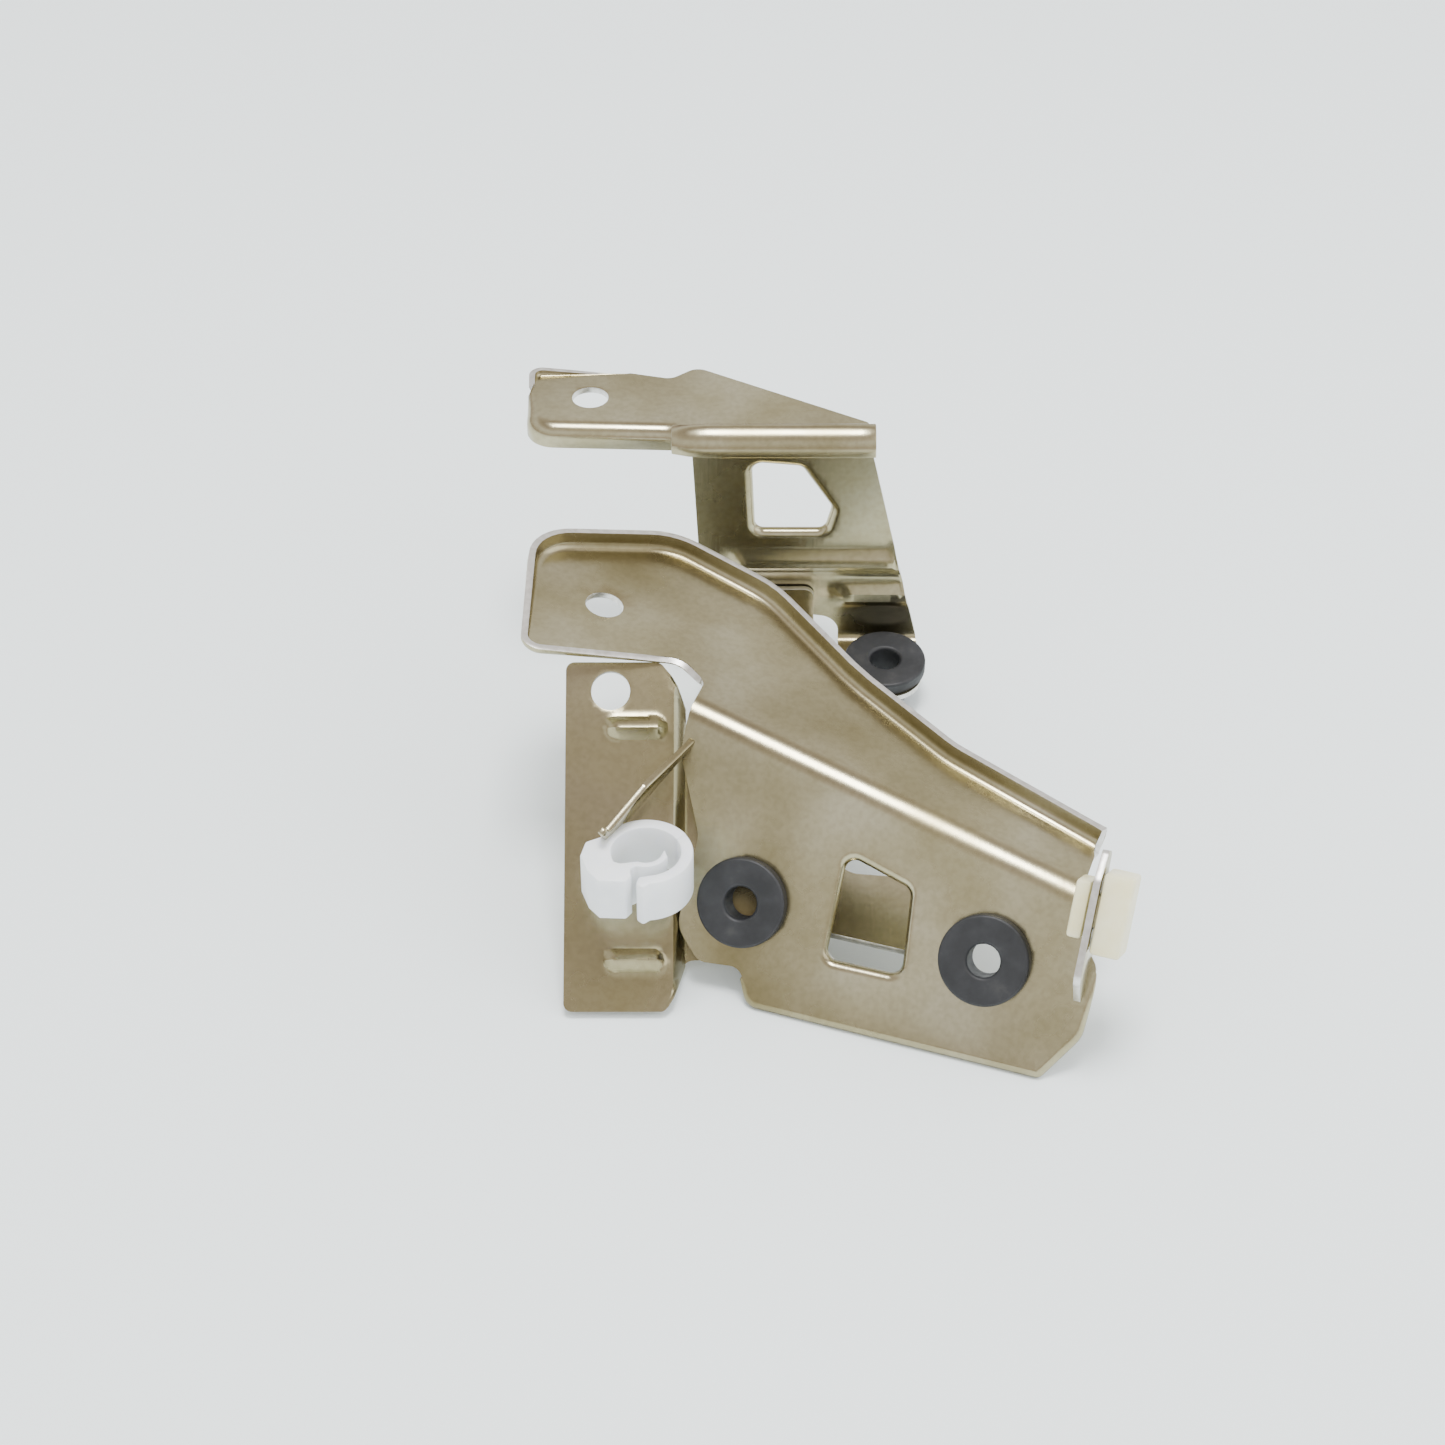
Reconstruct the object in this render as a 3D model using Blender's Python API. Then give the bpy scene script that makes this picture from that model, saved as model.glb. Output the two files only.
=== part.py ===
"""Stamped steel support bracket: a front plate with an arm, a side web, a cross plate and a rear
plate, with three rubber grommets, a nylon insert and a cable clip whose jaw springs open.

The bracket is modelled as it rests on a bench. +X runs along the plates, +Y from the front plate
to the rear plate, +Z up. Lengths below are in millimetres and are scaled to metres once, in MM.
"""

from math import ceil, cos, pi, radians, sin, tan

import bmesh
import bpy
from mathutils import Matrix, Vector
from mathutils.geometry import delaunay_2d_cdt

MM = 0.001

# Sheet metal
SHEET = 1.2
FOLD_RADIUS = 4.9
RIM_RADIUS = 2.2
RIM_HEIGHT = 4.0
FREE_EDGE = 0.5

# Mesh fineness
EDGE_STEP = 9.0
ARC_STEP = radians(30)
GRID_STEP = 9.0
FOLD_STEPS = 4
RIM_STEPS = 3
INSIDE_CONSTRAINTS = 1

# Front plate: the face leans back from its foot, and the arm folds back from the face
FACE_LEAN = radians(35)
FACE_YAW = radians(19)
FOOT_CORNER = Vector((4.5, 8.8, 0.0))
FOLD_START = (-20.6, 49.5)
FOLD_SLOPE = radians(13)
ARM_FOLD = radians(59)
ARM_HOLE = (-24.9, 13.8)
ARM_HOLE_RADIUS = 3.5
ARM_ONLY_BEFORE = -6.5

# Grommets
GROMMET_SEATS = ((23.2, -27.1), (66.1, -17.2))
SEAT_RADIUS = 5.4
GROMMET_RADIUS = 8.0
GROMMET_NECK = 5.0
GROMMET_BORE = 2.9
GROMMET_LIP = 2.2
GAP = 0.35

# Side web: leans back behind the front edge of the arm, with a stepped lap behind the face
WEB_CORNER = Vector((-28.0, 6.6, 0.0))
WEB_LEAN = radians(49)
WEB_HEIGHT = 62.4
WEB_WIDTH = 19.0
WEB_STEP = 7.0
WEB_LAP = 15.0
WEB_HOLE = (8.0, 57.2)
WEB_BEADS = (9.0, 50.6)

# Rear plate: a flat arm, an upright panel under it and a low tab in front of the panel
REAR_ARM_HEIGHT = 54.0
REAR_PANEL_Y = 105.0
REAR_PANEL_DROP = 47.0
REAR_HOLE = (-25.5, 12.5)
REAR_SEAT = (32.0, -56.0)
PANEL_LEFT = -6.0

# Cross plate
CROSS_HEIGHT = 10.0
CROSS_LEFT = -3.0
CROSS_RIGHT = 19.0
CROSS_FRONT_Y = 33.0
CROSS_UPTURN = 9.0
WING_SLOT = (11.0, 13.5)

# Lug and nylon insert at the right edge of the face
LUG_ALONG = 57.0
LUG_SEAT = (4.6, 31.0)
LUG_SEAT_HALF = 3.0
INSERT_HEAD = Vector((2.6, 8.0, 10.0))
INSERT_BODY = Vector((5.2, 9.0, 14.0))

# Cable clip and the strip that carries it
STRIP_START = Vector((-5.9, 38.0, 35.0))
STRIP_END = Vector((-21.0, 22.6, 24.6))
STRIP_WIDTH = 7.0
CLIP_CENTRE = Vector((-13.2, 17.0, 20.0))
CLIP_HEIGHT = 9.0
CLIP_RADIUS = 7.1
CLIP_WALL = 2.2
JAW_START = radians(-14)
JAW_END = radians(-84)

PLATED_STEEL = ("plated_steel", (0.60, 0.56, 0.47, 1.0), 0.32, 1.0)
BLACK_RUBBER = ("black_rubber", (0.035, 0.037, 0.042, 1.0), 0.55, 0.0)
WHITE_NYLON = ("white_nylon", (0.86, 0.87, 0.88, 1.0), 0.42, 0.0)
AMBER_NYLON = ("amber_nylon", (0.84, 0.80, 0.58, 1.0), 0.38, 0.0)


def clear_scene():
    for old in list(bpy.data.objects):
        bpy.data.objects.remove(old, do_unlink=True)


def material(recipe):
    name, colour, roughness, metallic = recipe
    made = bpy.data.materials.get(name) or bpy.data.materials.new(name)
    made.use_nodes = True
    shader = made.node_tree.nodes["Principled BSDF"]
    shader.inputs["Base Color"].default_value = colour
    shader.inputs["Roughness"].default_value = roughness
    shader.inputs["Metallic"].default_value = metallic
    return made


def add_object(name, mesh_data, recipe, origin=Vector((0, 0, 0))):
    """Makes a mesh object from a bmesh in millimetres, with its origin at the given point."""
    bmesh.ops.recalc_face_normals(mesh_data, faces=mesh_data.faces)
    bmesh.ops.translate(mesh_data, verts=mesh_data.verts, vec=-origin)
    bmesh.ops.scale(mesh_data, verts=mesh_data.verts, vec=(MM, MM, MM))
    mesh = bpy.data.meshes.new(name)
    mesh_data.to_mesh(mesh)
    mesh_data.free()
    mesh.shade_smooth()
    mesh.set_sharp_from_angle(angle=radians(35))
    mesh.materials.append(material(recipe))
    made = bpy.data.objects.new(name, mesh)
    made.location = origin * MM
    bpy.context.scene.collection.objects.link(made)
    return made


# ---------------------------------------------------------------- outlines


def rounded_outline(corners):
    """Turns (x, y, radius, rim) corners into points (x, y, rim), with an arc at each corner."""
    points = []
    for index, (x, y, radius, rim) in enumerate(corners):
        here = Vector((x, y))
        to_last = (Vector(corners[index - 1][:2]) - here).normalized()
        to_next = (Vector(corners[(index + 1) % len(corners)][:2]) - here).normalized()
        turn = pi - to_last.angle(to_next)
        if radius <= 0 or turn < 0.05:
            points.append((x, y, rim))
            continue
        reach = radius * tan(turn / 2)
        centre = here + (to_last + to_next).normalized() * (radius / cos(turn / 2))
        start = here + to_last * reach - centre
        side = 1 if start.cross(here + to_next * reach - centre) > 0 else -1
        steps = max(1, ceil(turn / ARC_STEP))
        for step in range(steps + 1):
            arm = start.copy()
            arm.rotate(Matrix.Rotation(side * turn * step / steps, 2))
            points.append((centre.x + arm.x, centre.y + arm.y, rim))
    return points


def split_edges(points, longest, rows):
    """Splits long edges, and adds a point wherever an edge crosses a fold row."""
    result = []
    for index, start in enumerate(points):
        end = points[(index + 1) % len(points)]
        length = (Vector(end[:2]) - Vector(start[:2])).length
        shares = {step / ceil(length / longest) for step in range(ceil(length / longest))}
        for row in rows:
            if (start[1] - row) * (end[1] - row) < 0:
                shares.add((row - start[1]) / (end[1] - start[1]))
        kept = []
        for share in sorted(shares):
            if not kept or (share - kept[-1]) * length > 0.3:
                kept.append(share)
        for share in kept:
            result.append(tuple(a + (b - a) * share for a, b in zip(start, end)))
    return result


def signed_area(points):
    total = 0.0
    for index, point in enumerate(points):
        total += points[index - 1][0] * point[1] - point[0] * points[index - 1][1]
    return total / 2


def inward(points, index):
    """The inward normal, stretched at corners so that an offset keeps its distance."""
    here = Vector(points[index][:2])
    before = (here - Vector(points[index - 1][:2])).normalized()
    after = (Vector(points[(index + 1) % len(points)][:2]) - here).normalized()
    normal = Vector((-before.y - after.y, before.x + after.x)).normalized()
    return normal / max(0.5, normal.dot(Vector((-before.y, before.x))))


def contains(points, x, y):
    found = False
    for index, (x1, y1, *_) in enumerate(points):
        x0, y0 = points[index - 1][:2]
        if (y0 > y) != (y1 > y) and x < x0 + (y - y0) * (x1 - x0) / (y1 - y0):
            found = not found
    return found


def distance_to(points, x, y):
    here = Vector((x, y))
    nearest = 1e9
    for index, point in enumerate(points):
        a = Vector(points[index - 1][:2])
        edge = Vector(point[:2]) - a
        share = min(1, max(0, (here - a).dot(edge) / edge.length_squared))
        nearest = min(nearest, (here - a - edge * share).length)
    return nearest


def circle(x, y, radius, count=16):
    turn = 2 * pi / count
    return [(x + radius * cos(turn * i), y + radius * sin(turn * i), 0) for i in range(count)]


# ---------------------------------------------------------------- pressed sheets


def pressed_sheet(name, corners, place, holes=(), rows=(), columns=(), extra=()):
    """One sheet-metal pressing. The flat pattern is filled with triangles, its rim is turned up
    along the edges whose corners say so, and place() puts each pattern point in space."""
    if signed_area(corners) < 0:
        corners = list(reversed(corners))
    outline = split_edges(rounded_outline(corners), EDGE_STEP, rows)
    insets = [
        FREE_EDGE + (RIM_RADIUS - FREE_EDGE) * min(1, abs(point[2])) for point in outline
    ]
    normals = [inward(outline, index) for index in range(len(outline))]
    data = bmesh.new()

    def rim_ring(step):
        ring = []
        for point, inset, normal in zip(outline, insets, normals):
            rim = point[2]
            angle = pi / 2 * min(1, step / RIM_STEPS)
            turned = inset * (1 - sin(angle))
            flat = inset * (1 - step / (RIM_STEPS + 1))
            shift = flat + (turned - flat) * min(1, abs(rim))
            rise = RIM_RADIUS * (1 - cos(angle)) if step <= RIM_STEPS else RIM_HEIGHT
            ring.append((point[0] + normal.x * shift, point[1] + normal.y * shift, rise * rim))
        return ring

    rings = [rim_ring(step) for step in range(RIM_STEPS + 2)]
    flat_points = [Vector(point[:2]) for point in rings[0]]
    loops = [len(flat_points)]
    for hole in holes:
        flat_points += [Vector(point[:2]) for point in hole]
        loops.append(len(hole))
    edges = []
    first = 0
    for count in loops:
        edges += [(first + i, first + (i + 1) % count) for i in range(count)]
        first += count
    flat_points += inner_points(rings[0], holes, rows, columns) + [Vector(p) for p in extra]

    found, _, faces, sources, _, _ = delaunay_2d_cdt(flat_points, edges, [], INSIDE_CONSTRAINTS, 1e-5)
    spots = [data.verts.new(place(point.x, point.y, 0.0)) for point in found]
    for face in faces:
        x = sum(found[i].x for i in face) / len(face)
        y = sum(found[i].y for i in face) / len(face)
        if not any(contains(hole, x, y) for hole in holes):
            data.faces.new([spots[i] for i in face])

    by_source = {source: spots[i] for i, group in enumerate(sources) for source in group}
    last = [by_source[index] for index in range(len(outline))]
    for ring in rings[1:]:
        fresh = [data.verts.new(place(*point)) for point in ring]
        for i in range(len(ring)):
            j = (i + 1) % len(ring)
            data.faces.new((last[i], fresh[i], fresh[j], last[j]))
        last = fresh
    loose = [vert for vert in data.verts if not vert.link_faces]
    bmesh.ops.delete(data, geom=loose, context="VERTS")
    return thicken(add_object(name, data, PLATED_STEEL))


def inner_points(boundary, holes, rows, columns):
    """Points inside the pattern: a plain grid, and closer rows where the sheet folds."""
    xs = [point[0] for point in boundary]
    ys = [point[1] for point in boundary]
    heights = set(rows)
    y = min(ys) + GRID_STEP / 2
    while y < max(ys):
        if all(abs(y - row) > GRID_STEP / 2 for row in rows):
            heights.add(y)
        y += GRID_STEP
    points = []
    for y in sorted(heights):
        places = set(columns)
        x = min(xs) + GRID_STEP / 2
        while x < max(xs):
            if all(abs(x - column) > GRID_STEP / 2 for column in columns):
                places.add(x)
            x += GRID_STEP
        for x in sorted(places):
            clear = 0.8 if y in rows or x in columns else GRID_STEP / 3
            if not contains(boundary, x, y) or distance_to(boundary, x, y) < clear:
                continue
            if any(contains(hole, x, y) or distance_to(hole, x, y) < clear for hole in holes):
                continue
            points.append(Vector((x, y)))
    return points


def thicken(sheet):
    solid = sheet.modifiers.new("thickness", "SOLIDIFY")
    solid.thickness = SHEET * MM
    solid.offset = 0
    solid.use_even_offset = True
    solid.use_quality_normals = True
    return sheet


def folded(across, radius, angle):
    """Where a pattern distance across a fold line ends up: (along the first leg, off it, turn).
    The first leg has across < 0, and the fold's arc is centred on across = 0."""
    half = radius * angle / 2
    apex = radius * tan(angle / 2)
    if across < -half:
        return across + half - apex, 0.0, 0.0
    turn = min(angle, (across + half) / radius)
    beyond = max(0.0, across - half)
    forward = -apex + radius * sin(turn) + beyond * cos(turn)
    off = radius * (1 - cos(turn)) + beyond * sin(turn)
    return forward, off, turn


def fold_rows(centre, radius, angle):
    half = radius * angle / 2
    return [centre - half + 2 * half * step / FOLD_STEPS for step in range(FOLD_STEPS + 1)]


# ---------------------------------------------------------------- front plate

FACE_RIGHT = Vector((cos(FACE_YAW), -sin(FACE_YAW), 0))
FACE_UP = Vector((sin(FACE_LEAN) * sin(FACE_YAW), sin(FACE_LEAN) * cos(FACE_YAW), cos(FACE_LEAN)))
FACE_OUT = FACE_RIGHT.cross(FACE_UP)
FOLD_POINT = FOOT_CORNER + FACE_RIGHT * FOLD_START[0] + FACE_UP * FOLD_START[1]
FOLD_ALONG = FACE_RIGHT * cos(FOLD_SLOPE) - FACE_UP * sin(FOLD_SLOPE)
FOLD_UP = FACE_RIGHT * sin(FOLD_SLOPE) + FACE_UP * cos(FOLD_SLOPE)


def place_front(along, across, rise):
    """The face lies below the fold line and the arm above it. Left of ARM_ONLY_BEFORE there is
    no face, so the arm stays flat there."""
    half = FOLD_RADIUS * ARM_FOLD / 2
    if along < ARM_ONLY_BEFORE and across < half:
        forward, off, turn = folded(half, FOLD_RADIUS, ARM_FOLD)
        forward += (across - half) * cos(turn)
        off += (across - half) * sin(turn)
    else:
        forward, off, turn = folded(across, FOLD_RADIUS, ARM_FOLD)
    normal = FACE_OUT * cos(turn) + FOLD_UP * sin(turn)
    return FOLD_POINT + FOLD_ALONG * along + FOLD_UP * forward - FACE_OUT * off + normal * rise


def front_plate():
    corners = [
        (-30.5, -7.0, 3.0, 0.35),
        (-7.0, 9.0, 4.0, 0.1),
        (-0.5, 6.5, 2.0, 0.0),
        (0.5, -1.0, 1.0, 0.0),
        (2.0, -8.0, 1.5, 0.0),
        (11.0, -20.0, 5.0, 0.0),
        (14.0, -36.5, 5.0, 0.0),
        (20.0, -40.5, 3.0, 0.0),
        (27.5, -38.0, 2.5, 0.0),
        (31.0, -43.6, 2.5, -0.3),
        (82.5, -31.7, 1.0, -0.3),
        (86.0, -22.5, 5.0, -0.3),
        (84.0, -10.0, 3.0, 0.0),
        (78.5, -5.5, 1.5, 0.0),
        (76.0, 1.0, 1.5, 0.0),
        (74.6, 11.6, 0.0, 0.0),
        (74.4, 13.2, 0.0, 1.0),
        (44.0, 16.5, 16.0, 1.0),
        (22.0, 24.0, 30.0, 1.0),
        (-1.0, 36.0, 18.0, 1.0),
        (-23.0, 37.5, 12.0, 1.0),
        (-44.0, 20.5, 9.0, 1.0),
    ]
    window = [
        (35.8, -11.0, 2.5, 0),
        (40.0, -30.6, 2.5, 0),
        (54.5, -27.0, 2.5, 0),
        (49.6, -11.6, 2.5, 0),
    ]
    holes = [
        circle(*ARM_HOLE, ARM_HOLE_RADIUS),
        rounded_outline(window),
    ]
    holes += [circle(*seat, SEAT_RADIUS) for seat in GROMMET_SEATS]
    rows = fold_rows(0.0, FOLD_RADIUS, ARM_FOLD)
    plate = pressed_sheet("front_plate", corners, place_front, holes, rows)
    join(plate, strip_shape("strip_shape", SHEET / 2, 0.0))
    join(plate, insert_lug())
    return plate


def prism(points, place, low, high):
    """A closed block: a flat outline pushed from low to high."""
    data = bmesh.new()
    bottom = [data.verts.new(place(x, y, low)) for x, y, *_ in points]
    top = [data.verts.new(place(x, y, high)) for x, y, *_ in points]
    data.faces.new(list(reversed(bottom)))
    data.faces.new(top)
    for index in range(len(points)):
        data.faces.new((bottom[index - 1], bottom[index], top[index], top[index - 1]))
    return data


def join(plate, piece):
    """Makes the piece one body with the plate."""
    union = plate.modifiers.new("joined_" + piece.name, "BOOLEAN")
    union.operation = "UNION"
    union.object = piece
    piece.hide_render = True
    piece.display_type = "WIRE"


def strip_shape(name, half_thickness, grow):
    """The narrow strip that stands out of the face's left edge and carries the cable clip.
    With grow above zero it is the slot that the strip needs in the clip."""
    along = (STRIP_END - STRIP_START).normalized()
    length = (STRIP_END - STRIP_START).length + grow
    flat = along.cross(FACE_OUT).normalized()
    out = flat.cross(along).normalized()
    if out.dot(FACE_OUT) < 0:
        out = -out

    def place(x, y, z):
        return STRIP_START + along * x + out * y + flat * z

    top = STRIP_WIDTH + grow
    corners = [
        (-1.0, -0.3 - grow, 0.0, 0),
        (length - 1.0, 0.8 - grow, 0.5, 0),
        (length, top, 1.0, 0),
        (length - 12, top, 1.5, 0),
        (3.0, 2.6 + grow, 2.0, 0),
        (-1.0, 1.0 + grow, 0.0, 0),
    ]
    block = prism(rounded_outline(corners), place, -half_thickness, half_thickness)
    return add_object(name, block, PLATED_STEEL)


def subtract(body, cutter):
    """Cuts one shape out of another. The cutter is a guide, not a piece of the bracket."""
    cutter.hide_render = True
    cutter.display_type = "WIRE"
    cut = body.modifiers.new("cut_" + cutter.name, "BOOLEAN")
    cut.operation = "DIFFERENCE"
    cut.object = cutter


def lug_place(out, up, along):
    return FOOT_CORNER + FACE_RIGHT * (LUG_ALONG + along) + FACE_UP * up + FACE_OUT * out


def insert_lug():
    """The lug stands out of the face's right edge and has a square window for the insert."""
    outer = rounded_outline(
        [
            (-0.3, 15.5, 0.0, 0),
            (3.0, 14.5, 1.0, 0),
            (9.5, 19.0, 3.0, 0),
            (9.5, 36.5, 3.0, 0),
            (6.0, 41.5, 1.5, 0),
            (2.0, 41.0, 1.5, 0),
            (0.2, 33.0, 1.5, 0),
            (0.2, 27.5, 0.5, 0),
            (-0.3, 25.5, 0.0, 0),
        ]
    )
    block = add_object("lug_shape", prism(outer, lug_place, -SHEET / 2, SHEET / 2), PLATED_STEEL)
    out, up = LUG_SEAT
    half = LUG_SEAT_HALF
    square = [
        (out - half, up - half),
        (out + half, up - half),
        (out + half, up + half),
        (out - half, up + half),
    ]
    subtract(block, add_object("lug_cutter", prism(square, lug_place, -SHEET, SHEET), PLATED_STEEL))
    return block


# ---------------------------------------------------------------- side web

WEB_UP = Vector((0, sin(WEB_LEAN), cos(WEB_LEAN)))
WEB_OUT = Vector((0, -cos(WEB_LEAN), sin(WEB_LEAN)))
BEAD_RISE = 1.6
BEAD_HALF = 2.2
BEAD_SPAN = (7.0, 18.0)
STEP_HALF = 1.6


def smooth(value):
    value = min(1.0, max(0.0, value))
    return value * value * (3 - 2 * value)


def bead(x, y):
    """Height of the two short stiffening beads at a pattern point."""
    rise = 0.0
    for height in WEB_BEADS:
        ends = smooth((x - BEAD_SPAN[0]) / 2) * smooth((BEAD_SPAN[1] - x) / 2)
        rise += BEAD_RISE * ends * smooth(1 - abs(y - height) / BEAD_HALF)
    return rise


def place_web(x, y, rise):
    """Flat up to WEB_WIDTH, then a step back, then a lap that runs behind the face."""
    share = smooth((x - WEB_WIDTH) / (2 * STEP_HALF))
    step = WEB_STEP * share
    off = bead(x, y) + rise - step
    squeeze = min(max(x - WEB_WIDTH, 0), 2 * STEP_HALF) * 0.35
    return WEB_CORNER + Vector((x - squeeze, 0, 0)) + WEB_UP * y + WEB_OUT * off


def side_web():
    right = WEB_WIDTH + 2 * STEP_HALF + WEB_LAP
    lap_top = 30.0
    corners = [
        (0.0, 0.0, 1.5, 0),
        (WEB_WIDTH - 1.0, 0.0, 1.5, 0),
        (WEB_WIDTH + 2 * STEP_HALF, 9.5, 3.0, 0),
        (right, 10.0, 3.0, 0),
        (right - 2.0, lap_top - 4.0, 3.0, 0),
        (WEB_WIDTH + 2 * STEP_HALF + 2, lap_top + 10.0, 3.0, 0),
        (WEB_WIDTH + 2 * STEP_HALF, WEB_HEIGHT - 8, 3.0, 0),
        (WEB_WIDTH - 2.0, WEB_HEIGHT, 2.0, 0),
        (0.0, WEB_HEIGHT, 1.5, 0),
    ]
    steps = [WEB_WIDTH + 2 * STEP_HALF * share / 4 for share in range(5)]
    spots = []
    for height in WEB_BEADS:
        for offset in (-BEAD_HALF, -BEAD_HALF / 2, 0, BEAD_HALF / 2, BEAD_HALF):
            spots += [(x, height + offset) for x in (7.0, 9.0, 12.5, 16.0, 18.0)]
    holes = [circle(*WEB_HOLE, ARM_HOLE_RADIUS)]
    return pressed_sheet("side_web", corners, place_web, holes, (), steps, spots)


# ---------------------------------------------------------------- rear plate

RIBS = ((-28.0, 0.0), (-36.0, 20.5))
RIB_HALF = 3.2
RIB_DEPTH = 1.8
TAB_FOLD = radians(86)
PANEL_FOLD = radians(90)
REAR_FOLD_RADIUS = 2.6


def rib(x, y):
    """Height of the level ribs, which run from their starting x to the right edge."""
    total = 0.0
    for height, start in RIBS:
        total += RIB_DEPTH * smooth(1 - abs(y - height) / RIB_HALF) * smooth((x - start) / 4)
    return total


def place_rear(x, across, rise):
    """across > 0 is the arm, 0 to -REAR_PANEL_DROP the upright panel, and below that the tab."""
    forward, off, turn = folded(-across, REAR_FOLD_RADIUS, PANEL_FOLD)
    half = REAR_FOLD_RADIUS * PANEL_FOLD / 2
    if x < PANEL_LEFT - 1 and across < half:
        forward, off, turn = half - across - REAR_FOLD_RADIUS, 0.0, 0.0
    y = REAR_PANEL_Y - forward
    z = REAR_ARM_HEIGHT - off
    out = Vector((0, -sin(turn), cos(turn)))
    below = -across - REAR_PANEL_DROP
    limit = REAR_FOLD_RADIUS * TAB_FOLD / 2
    if below > -limit:
        down, front, bend = folded(below, REAR_FOLD_RADIUS, TAB_FOLD)
        slack = REAR_FOLD_RADIUS * (2 - PANEL_FOLD / 2) + REAR_FOLD_RADIUS * tan(TAB_FOLD / 2)
        y = REAR_PANEL_Y - front
        z = REAR_ARM_HEIGHT - REAR_PANEL_DROP - down + limit - slack + REAR_FOLD_RADIUS
        out = Vector((0, -cos(bend), sin(bend)))
    point = Vector((x, y, z))
    return point + out * (rise + (rib(x, across) if across < -half else 0.0))


def rear_plate():
    seat_x, seat_y = REAR_SEAT
    corners = [
        (-37.0, 3.0, 5.0, -1.0),
        (PANEL_LEFT - 3.0, 1.9, 0.0, -1.0),
        (PANEL_LEFT - 1.8, 1.9, 0.0, 0.0),
        (PANEL_LEFT, 1.9, 0.0, 0.0),
        (PANEL_LEFT + 2.0, -38.0, 4.0, 0),
        (seat_x - 9.0, -42.0, 4.0, 0),
        (seat_x - 9.0, seat_y - 8.5, 8.0, 0),
        (seat_x + 8.0, seat_y - 8.5, 7.0, 0),
        (38.4, -46.0, 4.0, 0),
        (34.5, -29.0, 6.0, 0),
        (28.5, -2.0, 1.5, 0),
        (28.0, 4.0, 1.5, 0),
        (-5.0, 23.0, 3.0, 0),
        (-10.0, 19.0, 3.0, 0),
        (-18.0, 21.0, 6.0, 0),
        (-37.0, 21.0, 2.0, 0.4),
    ]
    window = [
        (5.0, -4.5, 2.5, 0),
        (5.8, -21.5, 2.5, 0),
        (20.3, -21.5, 2.5, 0),
        (21.8, -15.5, 2.5, 0),
        (15.5, -5.5, 2.5, 0),
    ]
    holes = [
        circle(*REAR_HOLE, ARM_HOLE_RADIUS),
        circle(*REAR_SEAT, SEAT_RADIUS),
        rounded_outline(window),
    ]
    rows = fold_rows(0.0, REAR_FOLD_RADIUS, PANEL_FOLD)
    rows += fold_rows(-REAR_PANEL_DROP, REAR_FOLD_RADIUS, TAB_FOLD)
    for height, _ in RIBS:
        rows += [height + RIB_HALF * step for step in (-1, -0.5, 0, 0.5, 1)]
    columns = (0.0, 4.0, 20.5, 24.5)
    return pressed_sheet("rear_plate", corners, place_rear, holes, sorted(rows), columns)


# ---------------------------------------------------------------- cross plate


def place_cross(x, y, rise):
    """Runs level from the web's lap to the rear panel, and turns up at both ends. A wing right of
    the slot stays level behind the face."""
    length = REAR_PANEL_Y - SHEET - GAP - CROSS_FRONT_Y
    if y > length / 2:
        forward, off, turn = folded(y - length, REAR_FOLD_RADIUS, PANEL_FOLD)
        return Vector((x, CROSS_FRONT_Y + length + forward, CROSS_HEIGHT + off)) + rise * Vector(
            (0, -sin(turn), cos(turn))
        )
    if x > WING_SLOT[0] + 0.1:
        return Vector((x, CROSS_FRONT_Y + y, CROSS_HEIGHT + rise))
    forward, off, turn = folded(-y, REAR_FOLD_RADIUS, pi / 2 + WEB_LEAN)
    return Vector((x, CROSS_FRONT_Y - forward, CROSS_HEIGHT + off)) + rise * Vector(
        (0, sin(turn), cos(turn))
    )


def cross_plate():
    length = REAR_PANEL_Y - SHEET - GAP - CROSS_FRONT_Y
    front = -CROSS_UPTURN
    rear = length + CROSS_UPTURN
    corners = [
        (CROSS_LEFT + 2, front, 2.0, 0),
        (WING_SLOT[0], front, 2.0, 0),
        (WING_SLOT[0], -0.6, 0.4, 0),
        (WING_SLOT[1], -0.6, 0.4, 0),
        (WING_SLOT[1], -15.5, 1.0, 0),
        (39.0, -24.0, 3.0, 0),
        (41.0, -4.0, 3.0, 0),
        (23.0, -2.0, 4.0, 0),
        (CROSS_RIGHT, 3.0, 3.0, 0),
        (CROSS_RIGHT, 8.0, 0.0, 0.5),
        (CROSS_RIGHT, length - 8, 2.0, 0.5),
        (CROSS_RIGHT - 1, length - 4, 0.0, 0),
        (CROSS_RIGHT - 1, rear, 2.0, 0),
        (CROSS_LEFT + 1, rear, 2.0, 0),
        (CROSS_LEFT + 1, length - 4, 0.0, 0),
        (CROSS_LEFT, length - 8, 2.0, 0.5),
        (CROSS_LEFT, 10.0, 2.0, 0.5),
        (CROSS_LEFT + 2, 5.0, 0.0, 0),
    ]
    rows = fold_rows(0.0, REAR_FOLD_RADIUS, pi / 2 + WEB_LEAN)
    rows += fold_rows(length, REAR_FOLD_RADIUS, PANEL_FOLD)
    return pressed_sheet("cross_plate", corners, place_cross, (), rows)


# ---------------------------------------------------------------- grommets


def turned(name, profile, centre, axis, recipe, count=20):
    """A body of revolution. The profile is a closed loop of (radius, height) points."""
    data = bmesh.new()
    turn = axis.to_track_quat("Z", "Y").to_matrix()
    rings = []
    for step in range(count):
        angle = 2 * pi * step / count
        rings.append(
            [
                data.verts.new(centre + turn @ Vector((r * cos(angle), r * sin(angle), h)))
                for r, h in profile
            ]
        )
    for step in range(count):
        here, following = rings[step - 1], rings[step]
        for i in range(len(profile)):
            j = (i + 1) % len(profile)
            data.faces.new((here[i], following[i], following[j], here[j]))
    return add_object(name, data, recipe)


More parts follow.
